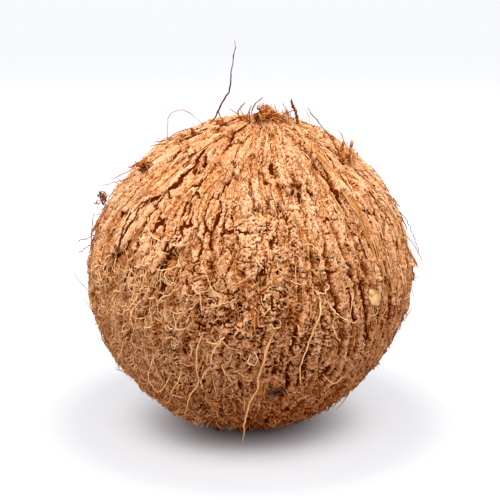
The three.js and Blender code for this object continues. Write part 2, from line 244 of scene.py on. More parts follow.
class Outline:
    """The nut's outline, and points laid out on it, in millimetres."""

    def __init__(self, sizes):
        self.girth_radius = sizes.girth_radius / MILLIMETRE
        self.girth_height = sizes.girth_height / MILLIMETRE
        self.height = sizes.nut_height / MILLIMETRE
        self.rest_radius = sizes.rest_radius / MILLIMETRE
        self.tip_shift = sizes.tip_shift / MILLIMETRE
        rest_share = (self.rest_radius / self.girth_radius) ** (1 / LOWER_SHOULDER)
        self.lower_depth = self.girth_height / (1 - rest_share) ** (1 / LOWER_BULGE)
        swing = np.linspace(-math.pi / 2, math.pi / 2, OUTLINE_STEPS + 1)
        reach = np.where(swing < 0, self.girth_height, self.height - self.girth_height)
        self.heights = self.girth_height + reach * np.sin(swing)
        self.radii = self.outline_radius(self.heights)
        runs = np.hypot(np.diff(self.radii), np.diff(self.heights))
        self.lengths = np.concatenate([[0.0], np.cumsum(runs)])
        self.length = float(self.lengths[-1])
        slope = np.stack([np.diff(self.heights), -np.diff(self.radii)]) / runs
        self.middles = (self.lengths[1:] + self.lengths[:-1]) / 2
        self.outward, self.upward = slope

    def outline_radius(self, height):
        """Radius of the outline at a height."""
        drop = np.clip((self.girth_height - height) / self.lower_depth, 0, 1)
        lower = (1 - drop ** LOWER_BULGE) ** LOWER_SHOULDER
        rise = np.clip((height - self.girth_height) / (self.height - self.girth_height), 0, 1)
        upper = (1 - rise ** UPPER_BULGE) ** UPPER_SHOULDER
        return self.girth_radius * np.where(height < self.girth_height, lower, upper)

    def radius_at(self, length):
        """Radius at a length along the outline."""
        return np.interp(length, self.lengths, self.radii)

    def height_at(self, length):
        """Height at a length along the outline."""
        return np.interp(length, self.lengths, self.heights)

    def length_at(self, height):
        """Length along the outline at a height."""
        return np.interp(height, self.heights, self.lengths)

    def point(self, angle, length, lift):
        """Points at an angle, a length along the outline and a lift off it."""
        radius = self.radius_at(length)
        height = self.height_at(length)
        lobe = LOBE_RELIEF * np.cos(3 * angle + LOBE_PHASE) * radius / self.girth_radius
        reach = radius + lobe + lift * np.interp(length, self.middles, self.outward)
        lean = self.tip_shift * (height / self.height) ** TIP_SHARPNESS
        rise = height + lift * np.interp(length, self.middles, self.upward)
        return np.stack([lean + reach * np.cos(angle), reach * np.sin(angle), rise], -1)

    def fibre_place(self, angle, length):
        """Coordinates that run with the fibres: round the girth, and along the outline."""
        around = self.girth_radius
        return np.stack([around * np.cos(angle), around * np.sin(angle), length + 0 * angle], -1)


class CoatPoints:
    """Points on the coat, and what its layers go by there."""

    def __init__(self, nut, angle, length):
        self.angle, self.length = angle, length
        self.height = nut.height_at(length)
        # Share of the top of the nut, where the coat gets painted light from above.
        self.bright = smooth((self.height - 72) / 26)
        self.place = nut.strip_place(angle, length)
        self.rough = nut.roughness(angle, length)
        self.combed = 1 - self.rough
        self.sheet = nut.plate_cover(angle, length)
        # The same points shifted a little, so that edges come out ragged.
        wave = [nut.grain(self.place, length, 2.4, 3.4, seed) for seed in (31, 32)]
        tear = [nut.grain(self.place, length, 0.8, 0.9, seed) for seed in (33, 34)]
        jog = nut.stair(self.place, length, 2.4, 3.2, 37)
        radius = np.maximum(nut.radius_at(length), 8)
        self.turn = angle + (0.45 * wave[0] + 0.3 * tear[0] + 0.6 * jog) / radius
        self.run = length + 0.9 * wave[1] + 0.4 * tear[1]
        self.crack_turn = angle + (0.3 * wave[0] + 0.3 * tear[0]) / radius
        self.bundle_turn = angle + 0.4 * tear[0] / radius


class Nut(Outline):
    """The nut with the relief of its coat."""

    def __init__(self, sizes):
        super().__init__(sizes)
        self.plate_length = sizes.plate_length / MILLIMETRE
        self.plate_relief = sizes.plate_relief / MILLIMETRE
        self.groove_depth = sizes.groove_depth / MILLIMETRE
        self.grain_tables = {}

    def wander(self, angle, length):
        """How far the strips wander sideways, in strips."""
        return sum(size * np.sin(round_ * angle + along * length + start)
                   for size, round_, along, start in STRIP_WAVES)

    def strip_place(self, angle, length):
        """The place of an angle, counted in strips."""
        return angle * STRIPS / (2 * math.pi) - self.wander(angle, length)

    def plate_end(self, strip, plate):
        """Where a plate of a strip starts."""
        jitter = PLATE_JITTER * (draw(strip, plate, 1) - 0.5)
        return self.plate_length * (plate + draw(strip, 0, 2) + jitter)

    def plate_at(self, strip, length):
        """The plate that a length falls in, with its two ends."""
        plate = np.floor(length / self.plate_length) - 2
        for _ in range(4):
            plate = np.where(self.plate_end(strip, plate + 1) <= length, plate + 1, plate)
        return plate, self.plate_end(strip, plate), self.plate_end(strip, plate + 1)

    def grain(self, place, length, across, along, seed):
        """Soft noise between -1 and 1, in cells of a size across and along the fibres."""
        count = max(int(round(2 * math.pi * self.girth_radius / across)), 3)
        rows = int(self.length / along) + 8
        if seed not in self.grain_tables:
            self.grain_tables[seed] = np.random.default_rng(seed).uniform(-1, 1, (count, rows))
        table = self.grain_tables[seed]
        x = place / STRIPS * count
        y = np.clip(length / along + 2, 0, rows - 2.001)
        i, j = np.floor(x).astype(int), np.floor(y).astype(int)
        s, t = smooth(x - i), smooth(y - j)
        low = table[i % count, j] * (1 - s) + table[(i + 1) % count, j] * s
        high = table[i % count, j + 1] * (1 - s) + table[(i + 1) % count, j + 1] * s
        return low * (1 - t) + high * t

    def fade(self, length):
        """The relief dies out at the rest and at the stalk end."""
        return smooth(length / REST_FADE) * smooth((self.length - length) / TIP_FADE)

    def plate_level(self, strip, plate, share, low_to_high):
        """Lift of a plate at a share of its width and of its length."""
        level = self.plate_relief * (2 * draw(strip, plate, 4) - 1)
        lip = PLATE_LIP * (0.6 - low_to_high)
        tilt = (share - 0.5) * (draw(strip, plate, 5) - 0.5) * 2
        return level + lip + tilt

    def body_lift(self, angle, length):
        """Lift of the coat without its fine grain: plates and the grooves between them."""
        place = self.strip_place(angle, length)
        strip = np.floor(place)
        share = place - strip
        strip = strip % STRIPS
        plate, low, high = self.plate_at(strip, length)
        level = self.plate_level(strip, plate, share, (length - low) / (high - low))
        width = 2 * math.pi * self.radius_at(length) / STRIPS
        edge = np.minimum(share, 1 - share) * np.maximum(width, 2.0)
        top = smooth(edge / 1.5)
        depth = self.groove_depth * (0.3 + 0.9 * draw(strip, plate, 3))
        depth = depth * between(0.25, 1.0, self.grooving(angle, length))
        return (level * top - depth * (1 - top)) * self.fade(length)

    def cells(self, angle, length, wide, tall, seed):
        """Irregular cells of a size round and along the nut. For each point: two draws of
        its cell, its place along the cell, how far the cell's edge is, in millimetres, and
        how nearly that edge runs with the fibres."""
        up = length / tall
        row = np.floor(up)
        shape = np.broadcast(angle, length).shape
        first, second = np.full(shape, 99.0), np.full(shape, 99.0)
        near = [np.zeros(shape) for _ in range(4)]
        far = [np.zeros(shape) for _ in range(2)]
        for step in (-1, 0, 1):
            level = row + step
            around = 2 * math.pi * self.radius_at((level + 0.5) * tall) / wide
            count = np.maximum(np.rint(around), 5)
            turn = angle / (2 * math.pi) * count
            column = np.floor(turn)
            for side in (-1, 0, 1):
                key = (column + side) % count
                x = turn - column - side - draw(key, level, seed)
                y = up - level - draw(key, level, seed + 1)
                distance = x * x + y * y
                closer = distance < first
                runner = ~closer & (distance < second)
                for i, value in enumerate((x, y)):
                    far[i] = np.where(closer, near[i], np.where(runner, value, far[i]))
                second = np.where(closer, first, np.where(runner, distance, second))
                first = np.where(closer, distance, first)
                for i, value in enumerate((x, y, key, level)):
                    near[i] = np.where(closer, value, near[i])
        x, y, key, level = near
        apart_x, apart_y = x - far[0], y - far[1]
        apart = np.hypot(apart_x, apart_y) + 1e-6
        pace = np.hypot(apart_x / apart / wide, apart_y / apart / tall)
        edge = (second - first) / (2 * apart) / pace
        steep = np.abs(apart_x / apart / wide) / pace
        return draw(key, level, seed + 2), draw(key, level, seed + 3), y, edge, steep

    def stair(self, place, length, across, along, seed):
        """Noise between -1 and 1 that changes in steps along the fibres."""
        count = max(int(round(2 * math.pi * self.girth_radius / across)), 3)
        x = place / STRIPS * count
        column = np.floor(x)
        share = smooth(x - column)
        value = 0.0
        for side, weight in ((0, 1 - share), (1, share)):
            key = (column + side) % count
            row = np.floor(length / along + draw(key, 5, seed))
            value = value + weight * (2 * draw(key, row, seed + 1) - 1)
        return value

    def off_line(self, angle, length, places):
        """How far each point is from a line over the coat through places, in
        millimetres, and how far along the line it is, from 0 to 1."""
        turn = np.radians([place[0] for place in places])
        run = self.length_at(np.array([place[1] for place in places]))
        off = np.full(np.broadcast(angle, length).shape, 99.0)
        whole = np.zeros(off.shape)
        for i in range(len(places) - 1):
            radius = float(self.radius_at((run[i] + run[i + 1]) / 2))
            x = ((angle - turn[i] + math.pi) % (2 * math.pi) - math.pi) * radius
            y = length - run[i]
            across, along = (turn[i + 1] - turn[i]) * radius, run[i + 1] - run[i]
            share = np.clip((x * across + y * along) / (across ** 2 + along ** 2), 0, 1)
            apart = np.hypot(x - share * across, y - share * along)
            closer = apart < off
            off = np.where(closer, apart, off)
            whole = np.where(closer, (i + share) / (len(places) - 1), whole)
        return off, whole

    def crack_gap(self, angle, length):
        """How far each point is outside the nearest crack that stands out, in
        millimetres; below 0 inside it."""
        gap = np.full(np.broadcast(angle, length).shape, NO_GAP)
        for half, *places in CRACKS:
            off, whole = self.off_line(angle, length, places)
            wide = CRACK_WIDTH * half * np.sqrt(np.sin(math.pi * np.clip(whole, 0.001, 0.999)))
            gap = np.minimum(gap, off - wide)
        return gap

    def layer_count(self, place, length, pitch, across, along, sway, seed):
        """How many ragged layers lie below each point."""
        bend = self.grain(place, length, across, along, seed)
        bend = bend + 0.45 * self.grain(place, length, across * 0.42, along * 0.37, seed + 1)
        bend = bend + 0.2 * self.grain(place, length, across * 0.2, along * 0.17, seed + 2)
        return length / pitch + sway * bend

    def layers(self, place, length, *shape):
        """Ragged layers, one over the next like shingles. For each point: how far it lies
        up its layer, from 0 at the torn lower edge to 1 under the next, how many
        millimetres below the next edge it is, and its layer's draw."""
        count = self.layer_count(place, length, *shape)
        around = STRIPS / (2 * math.pi * np.maximum(self.radius_at(length), 8))
        step = 0.15
        slope = [self.layer_count(place + step * around, length, *shape) - count,
                 self.layer_count(place, length + step, *shape) - count]
        steep = np.hypot(*slope) / step + 0.05
        layer = np.floor(count)
        patch = np.floor(place * 2.2)
        return count - layer, (1 - count + layer) / steep, draw(layer, patch, shape[-1])

    def surface(self, angle, length):
        """Lift of the coat, how pale it is, with painted light and shade in that, and how far each
        point is outside a crack, in millimetres, which the material darkens with painted shade: its
        ground, and one layer over another."""
        at = CoatPoints(self, angle, length)
        lift, tone, gap = self.ground(at)
        for layer in (self.sheets, self.narrow_strips, self.bark, self.ragged_flakes,
                      self.crumbs_and_pits, self.fine_grain):
            rise, paler, outside = layer(at)
            lift, tone, gap = lift + rise, tone + paler, np.minimum(gap, outside)
        lift = lift - GAP_DEPTH * smooth(0.6 - gap / 0.5)
        return lift - LAYERS_MEAN, tone, gap

    def ground(self, at):
        """The coat under its layers: plates in strips, furrows, the straight pale bundle,
        the cracks that stand out and the gentle swellings."""
        furrow = self.furrow(self.strip_place(at.turn, at.run), at.run)
        furrow = furrow * self.grooving(at.angle, at.length)
        off, _ = self.off_line(at.bundle_turn, at.length, BUNDLE_ROUTE)
        bundle = smooth(1.6 - off / 1.1)
        torn = at.run + 3.5 * self.grain(at.place, at.length, 1.8, 12, 39)
        lift = self.body_lift(at.turn, torn) - 0.6 * furrow + 0.9 * bundle
        for degrees, level, broad, tall, rise in SWELLINGS:
            lift = lift + (rise * near_angle(at.angle, degrees, broad)
                           * np.exp(-((at.height - level) / tall) ** 2))
        # Painted shade in the furrows.
        tone = self.region_tone(at) - 0.3 * furrow + 0.06 * bundle
        gap = np.minimum(self.crack_gap(at.crack_turn, at.run), 1.0 - 1.2 * furrow)
        return lift, tone, gap

    def region_tone(self, at):
        """How much paler or darker than the rest each region of the coat is: paler on top, painted
        light from above, and darker at the bottom, painted shade.
        """
        middle = smooth((66 - at.height) / 20) * smooth((at.height - 14) / 20)
        tone = 0.12 * at.bright * (1 - 0.5 * at.sheet)
        tone = tone + (0.1 - 0.12 * near_angle(at.angle, 312, 40)) * middle
        tone = tone - 0.02 * near_angle(at.angle, LEFT, 42) * smooth((84 - at.height) / 30)
        tone = tone - 0.07 * near_angle(at.angle, RIGHT, 30) * smooth((90 - at.height) / 20)
        return tone - 0.16 * smooth((30 - at.height) / 16)

    def sheets(self, at):
        """Smooth sheets, open along some of their edges."""
        own, hue, y, edge, steep = self.cells(at.turn, at.run, 4.2, 14.0, 21)
        spread = np.clip(0.4 + 1.4 * self.grain(at.place, at.length, 4, 10, 35), 0, 1)
        opened = 0.62 * spread * at.sheet * (0.4 + 0.6 * steep)
        return (at.sheet * (1.1 * (own - 0.5) - 0.9 * y),
                at.sheet * (0.06 + 0.16 * (hue - 0.5)), edge + 0.12 - opened)

    def narrow_strips(self, at):
        """Narrow strips where the coat is combed, furthest apart at the right."""
        shown = np.clip(2.2 * (at.combed - 0.35) - at.sheet, 0.1, 1)
        own, hue, y, edge, steep = self.cells(at.turn, at.run, 1.9, 12.0, 81)
        spread = np.clip(0.35 + 1.2 * self.grain(at.place, at.length, 2.6, 6, 85), 0, 1)
        wide = between(0.42, 0.85, near_angle(at.angle, RIGHT, 35))
        opened = wide * spread * shown * (0.2 + 0.8 * steep)
        return (shown * (1.1 * (own - 0.5) - 0.3 * y),
                shown * between(0.2, 0.12, at.bright) * (own + 0.5 * hue - 0.75),
                edge + 0.12 - opened)

    def bark(self, at):
        """Small plates of bark in front."""
        level = smooth((at.height - 44) / 20) * smooth((104 - at.height) / 14)
        shown = near_angle(at.angle, 276, 26) * level
        own, hue, y, edge, _ = self.cells(at.turn, at.run, 3.2, 5.6, 91)
        spread = np.clip(0.15 + 1.1 * self.grain(at.place, at.length, 3.0, 3.6, 93), 0, 1)
        return (shown * (0.5 * (own - 0.5) - 0.3 * y), shown * 0.06 * (hue - 0.4),
                edge + 0.12 - 0.42 * spread * shown)

    def ragged_flakes(self, at):
        """Ragged flakes, large and small, each hanging over a gap, which the material darkens with
        painted shade.
        """
        shown = np.clip(0.15 + 0.85 * at.rough - 0.2 * at.sheet, 0, 1)
        lift, tone, gap = 0.0, 0.0, NO_GAP
        for shape, rise, wide in FLAKE_LAYERS:
            up, under, hue = self.layers(at.place, at.length, *shape)
            opened = (0.15 + wide) * shown * smooth(2.4 * hue - 0.6)
            lift = lift + shown * rise * (1 - up)
            tone = tone + shown * 0.12 * (hue - 0.5)
            gap = np.minimum(gap, under + 0.15 - opened)
        return lift, tone, gap

    def crumbs_and_pits(self, at):
        """Crumbs of pith, most of them low down, and pits, which the material darkens with painted
        shade.
        """
        crumbly = at.rough * smooth((72 - at.height) / 30)
        own, _, _, edge, _ = self.cells(at.turn, at.run, 1.1, 1.2, 45)
        lift = 0.45 * crumbly * ((own - 0.5) + 0.3 * smooth(edge / 0.4))
        tone = (0.06 + 0.14 * crumbly) * (own - 0.5)
        _, hue, _, edge, _ = self.cells(at.turn, at.run, 2.0, 3.2, 71)
        pit = smooth((hue - 0.93) * 16) * between(0.4, 1, at.rough)
        return lift, tone, 0.75 - (0.25 + 0.8 * smooth(edge / 0.6)) * pit

    def fine_grain(self, at):
        """Fine ridges along the fibres where the coat is combed, and lumps where it is matted.
        Under loose fibres it has painted shade, a little darker."""
        fibres = self.grain(at.place, at.length, 0.7, 6, 12)
        ridges = self.grain(at.place, at.length, 1.7, 14, 11)
        lumps = self.grain(at.place, at.length, 4.2, 5.5, 14)
        lift = at.combed * (0.12 * fibres + 0.2 * ridges) + 0.35 * at.rough * lumps
        tone = 0.05 * at.combed * fibres + 0.04 * ridges + 0.05 * lumps
        covered = smooth((self.fibre_cover(at.angle, at.length) - 0.5) * 2)
        return lift, tone - 0.04 * covered, NO_GAP

    def coat_lift(self, angle, length):
        """Lift of the coat with its fine grain."""
        return self.surface(angle, length)[0] * self.fade(length)

    def furrow(self, place, length):
        """Furrows between the strips and down their middles, from 0 to 1 where deepest."""
        line = np.rint(2 * place) / 2
        width = 2 * math.pi * self.radius_at(length) / STRIPS
        opened = smooth(0.5 + 1.1 * self.grain(line, length, 3.0, 9.0, 91))
        off = np.abs(place - line) * width
        return opened * smooth(1.3 - off / (0.35 + 0.75 * opened))

    def grooving(self, angle, length):
        """How deep the grooves between strips are: open at the right and low down."""
        low = smooth((82 - self.height_at(length)) / 36)
        right = near_angle(angle, 328, 38)
        left = near_angle(angle, 203, 32)
        return np.clip(0.15 + 0.6 * low + 0.6 * right + 0.35 * left
                       + 0.5 * near_angle(angle, BACK, 60), 0, 1)

    def roughness(self, angle, length):
        """How matted the coat is: corky low down and in front, in long strips elsewhere."""
        height = self.height_at(length)
        low = smooth((78 - height) / 40) * (1 - 0.6 * near_angle(angle, 322, 28))
        front = near_angle(angle, 272, 34) * (1 - 0.4 * smooth((height - 72) / 26))
        behind = near_angle(angle, 85, 40)
        return np.clip(0.25 + 0.6 * low + 0.5 * front + 0.3 * behind, 0, 1)

    def fine_texture(self, angle, length):
        """How much of the fine texture is crumbs and how much is streaks: little of
        either on the smooth sheets, and less in front on top."""
        height = self.height_at(length)
        rough = self.roughness(angle, length)
        front = near_angle(angle, FRONT, 60) * smooth((height - 58) / 24)
        bare = 1 - 0.5 * self.plate_cover(angle, length)
        bare = bare * (1 + 0.7 * smooth((66 - height) / 30)) * (1 - 0.45 * front)
        return rough * bare, (1 - rough) * bare

    def fibre_cover(self, angle, length):
        """How thickly loose fibres lie: most at the lower left, least in front on top."""
        height = self.height_at(length)
        left = near_angle(angle, 220, 42) * smooth((90 - height) / 26)
        low = smooth((75 - height) / 30)
        return np.clip(0.12 + 0.7 * left + 0.15 * low + 0.25 * near_angle(angle, RIGHT, 30)
                       + 0.3 * near_angle(angle, BACK, 60), 0, 1)

    def curl_cover(self, angle, length):
        """How thickly the long curled fibres lie: nearly all are at the lower left."""
        height = self.height_at(length)
        band = smooth((92 - height) / 22) * smooth(height / 20)
        return (0.06 + 0.94 * near_angle(angle, LEFT, 34)) * band

    def plate_cover(self, angle, length):
        """How much of the coat is still covered by smooth torn sheets."""
        height = self.height_at(length)
        upper = smooth((height - 38) / 36)
        spread = (0.25 + 0.85 * near_angle(angle, LEFT, 42) + 0.65 * near_angle(angle, 60, 45)
                  + 0.55 * near_angle(angle, 140, 30) + 0.3 * near_angle(angle, 325, 30))
        return np.clip(spread * (0.12 + 0.88 * upper), 0, 1)


def deselect_all():
    """Leaves nothing selected, so that an operator acts on the new piece alone."""
    for chosen in list(bpy.context.selected_objects):
        chosen.select_set(False)


def make_piece(name, points, faces, place, tone, material, flat=False):
    """A mesh in metres from points in millimetres, with what its material reads. The
    faces come in groups, an array for each number of corners."""
    mesh = bpy.data.meshes.new(name)
    counts = np.concatenate([np.full(len(group), group.shape[1]) for group in faces])
    corners = np.concatenate([group.reshape(-1) for group in faces])
    mesh.vertices.add(len(points))
    mesh.vertices.foreach_set("co", (points * MILLIMETRE).astype(np.float32).reshape(-1))
    mesh.loops.add(len(corners))
    mesh.loops.foreach_set("vertex_index", corners.astype(np.int32))
    mesh.polygons.add(len(counts))
    starts = np.concatenate([[0], np.cumsum(counts)[:-1]])
    mesh.polygons.foreach_set("loop_start", starts.astype(np.int32))
    mesh.update(calc_edges=True)
    mesh.validate()
    piece = bpy.data.objects.new(name, mesh)
    bpy.context.scene.collection.objects.link(piece)
    write_attributes(mesh, place, tone=tone)
    if not flat:
        mesh.shade_smooth()
    finish_piece(piece, material)
    return piece


def write_attributes(mesh, place, **values):
    """Stores where the fibres run, and other values of each point by name."""
    runs = mesh.attributes.new("fibre_place", "FLOAT_VECTOR", "POINT")
    runs.data.foreach_set("vector", place.astype(np.float32).reshape(-1))
    for name, value in values.items():
        layer = mesh.attributes.new(name, "FLOAT", "POINT")
        layer.data.foreach_set("value", value.astype(np.float32).reshape(-1))


def finish_piece(piece, material):
    """Gives a piece its material and its body, in place of the solid."""
    piece.data.materials.append(material)
    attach(piece, BODY)
    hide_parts(NODE)


# Materials

def add_node(tree, kind, settings=None, inputs=None):
    """Adds a node, with its settings, and its inputs as values or as links."""
    node = tree.nodes.new(kind)
    for name, value in (settings or {}).items():
        setattr(node, name, value)
    for name, value in (inputs or {}).items():
        if isinstance(value, bpy.types.NodeSocket):
            tree.links.new(value, node.inputs[name])
        else:
            node.inputs[name].default_value = value
    return node


def set_ramp(node, stops):
    """Sets the stops of a colour ramp: pairs of a place and a linear colour."""
    elements = node.color_ramp.elements
    while len(elements) < len(stops):
        elements.new(0.5)
    for element, (place, colour) in zip(elements, stops):
        element.position = place
        element.color = (*colour, 1.0)


def stretched_noise(tree, place, across, along, detail=2.0):
    """Noise in cells of a size in millimetres, stretched along the fibres."""
    run = add_node(tree, "ShaderNodeMapping", {"vector_type": "POINT"}, {
        "Vector": place, "Scale": (1 / across, 1 / across, 1 / along)})
    return add_node(tree, "ShaderNodeTexNoise", {"noise_dimensions": "3D"}, {
        "Vector": run.outputs["Vector"], "Scale": 1.0, "Detail": detail,
        "Roughness": 0.6}).outputs["Fac"]


def sum_of(tree, *terms):
    """Adds up pairs of a socket and its weight."""
    total = 0.0
    for socket, weight in terms:
        total = add_node(tree, "ShaderNodeMath", {"operation": "MULTIPLY_ADD"}, {
            0: socket, 1: weight, 2: total}).outputs["Value"]
    return total


def showing(tree, value, low, high, *within):
    """How much of a finish shows: a soft rise from 0 to 1 as a value goes from low to
    high, held back by each of the other shares."""
    share = add_node(tree, "ShaderNodeMapRange", {"interpolation_type": "SMOOTHSTEP"}, {
        "Value": value, "From Min": low, "From Max": high}).outputs["Result"]
    for other in within:
        share = add_node(tree, "ShaderNodeMath", {"operation": "MULTIPLY"}, {
            0: share, 1: other}).outputs["Value"]
    return share


# Where a small spot of mildew sits, how far it reaches, in metres, and its colour.
MILDEW_PLACE, MILDEW_REACH, MILDEW = (0.0102, -0.0498, 0.0273), 0.0038, "#3A3532"
MILDEW_STRENGTH = 0.7
# How far the upper edge of the darkened underside, partly painted shade, wanders up and down, in
# metres.
UNDERSIDE_WANDER = 0.025


def underside_shade_and_mildew(tree, colour, shade_tint, low, high, strength):
    """Darkens the nut towards its underside, partly painted shade of the underside and partly
    darker coir there, and mixes in one small grey-black spot of mildew."""
    spot = add_node(tree, "ShaderNodeTexCoord").outputs["Object"]
    height = add_node(tree, "ShaderNodeSeparateXYZ", None, {"Vector": spot}).outputs["Z"]
    patches = add_node(tree, "ShaderNodeTexNoise", None, {
        "Vector": spot, "Scale": 55.0, "Detail": 3.0}).outputs["Fac"]
    shifted = sum_of(tree, (height, 1.0), (patches, -2 * UNDERSIDE_WANDER))
    under = showing(tree, shifted, high - UNDERSIDE_WANDER, low - UNDERSIDE_WANDER, strength)
    underside_darkening = add_node(tree, "ShaderNodeMix", {"data_type": "RGBA", "blend_type": "MULTIPLY"}, {
        "Factor": under, 6: colour, 7: (*shade_tint, 1.0)}).outputs[2]
    away = add_node(tree, "ShaderNodeVectorMath", {"operation": "DISTANCE"}, {
        0: spot, 1: MILDEW_PLACE}).outputs["Value"]
    ragged = add_node(tree, "ShaderNodeTexNoise", None, {
        "Vector": spot, "Scale": 420.0, "Detail": 3.0}).outputs["Fac"]
    spotted = showing(tree, sum_of(tree, (away, 1.0), (ragged, 1.6 * MILDEW_REACH)),
                      2.0 * MILDEW_REACH, 1.6 * MILDEW_REACH, MILDEW_STRENGTH)
    return add_node(tree, "ShaderNodeMix", {"data_type": "RGBA"}, {
        "Factor": spotted, 6: underside_darkening, 7: (*linear(MILDEW), 1.0)}).outputs[2]


def dry_material(name, roughness):
    """A matt material, with its node tree and its shader."""
    material = bpy.data.materials.new(name)
    material.use_nodes = True
    tree = material.node_tree
    shader = tree.nodes["Principled BSDF"]
    shader.inputs["Roughness"].default_value = roughness
    shader.inputs["Specular IOR Level"].default_value = 0.0
    return material, tree, shader


def finish_material(tree, shader, shade, stops, raised, bump, underside_shade):
    """Colours a shader by a ramp, darkens it towards the nut's underside with partly painted shade
    and a spot of mildew, and raises its surface.
    """
    ramp = add_node(tree, "ShaderNodeValToRGB", None, {"Fac": shade})
    set_ramp(ramp, stops)
    colour = underside_shade_and_mildew(tree, ramp.outputs["Color"], *underside_shade)
    tree.links.new(colour, shader.inputs["Base Color"])
    relief = add_node(tree, "ShaderNodeBump", None, {
        "Strength": bump[0], "Distance": bump[1] * MILLIMETRE, "Height": raised})
    tree.links.new(relief.outputs["Normal"], shader.inputs["Normal"])


def fibrous_material(name, stops, grain, bump, roughness, underside_shade):
    """A dry, matt plant fibre: its tone and two noises give the place on a ramp of
    browns, and the same noises raise the surface. The grain is the size of each noise
    across and along the fibres, in millimetres, and then the weight of each."""
    material, tree, shader = dry_material(name, roughness)
    place, tone = (add_node(tree, "ShaderNodeAttribute", {"attribute_name": name}).outputs
                   for name in ("fibre_place", "tone"))
    *sizes, streaked, speckled = grain
    streaks = stretched_noise(tree, place["Vector"], *sizes[:2])
    specks = stretched_noise(tree, place["Vector"], *sizes[2:], 3.0)
    shade = sum_of(tree, (tone["Fac"], 1.0), (streaks, streaked), (specks, speckled),
                   (1.0, -(streaked + speckled) / 2))
    finish_material(tree, shader, shade, stops, sum_of(tree, (streaks, 0.5), (specks, 0.5)),
                    bump, underside_shade)
    return material


def ragged_layers(tree, spot, along, pitch):
    """Fine ragged layers of a pitch in millimetres: how far up its layer each point lies,
    from 0 at the torn edge to 1 under the next, and soft noise of the same size."""
    bent = add_node(tree, "ShaderNodeTexNoise", None, {
        "Vector": spot, "Scale": 1 / (1.2 * pitch * MILLIMETRE), "Detail": 2.0,
        "Roughness": 0.55}).outputs["Fac"]
    count = sum_of(tree, (along, 1 / pitch), (bent, 1.9))
    up = add_node(tree, "ShaderNodeMath", {"operation": "FRACT"}, {0: count}).outputs["Value"]
    return up, bent


def underside(colours, strength=0.9):
    """The tint, lowest and highest level and strength of the darkened underside, partly painted
    shade.
    """
    return tuple(colours.weathered), 0.0, 0.084, strength


def crumbled(tree, spot, size):
    """Irregular crumbs of a size in millimetres: a draw for each crumb, from 0 to 1, and
    how far inside its crumb each point lies."""
    reach = size * MILLIMETRE
    bend = add_node(tree, "ShaderNodeTexNoise", None, {
        "Vector": spot, "Scale": 1.1 / reach, "Detail": 2.0}).outputs["Color"]
    bent = add_node(tree, "ShaderNodeVectorMath", {"operation": "MULTIPLY_ADD"}, {
        0: bend, 1: (1.3 * reach,) * 3, 2: spot}).outputs["Vector"]
    own = add_node(tree, "ShaderNodeTexVoronoi", {"feature": "F1"}, {
        "Vector": bent, "Scale": 1 / reach}).outputs["Color"]
    inside = add_node(tree, "ShaderNodeTexVoronoi", {"feature": "DISTANCE_TO_EDGE"}, {
        "Vector": bent, "Scale": 1 / reach}).outputs["Distance"]
    return add_node(tree, "ShaderNodeSeparateXYZ", None, {"Vector": own}).outputs["X"], inside


def coir_browns(colours):
    """Coir from the painted shade of its cracks to its palest pith, as stops of a ramp."""
    return [(0.0, colours.pit), (0.25, colours.old_coir), (0.5, colours.coir),
            (0.75, colours.fresh_coir), (1.0, colours.pale_pith)]


# How ragged the edges of the cracks are, in millimetres.
CRACK_RAGGED = 0.4


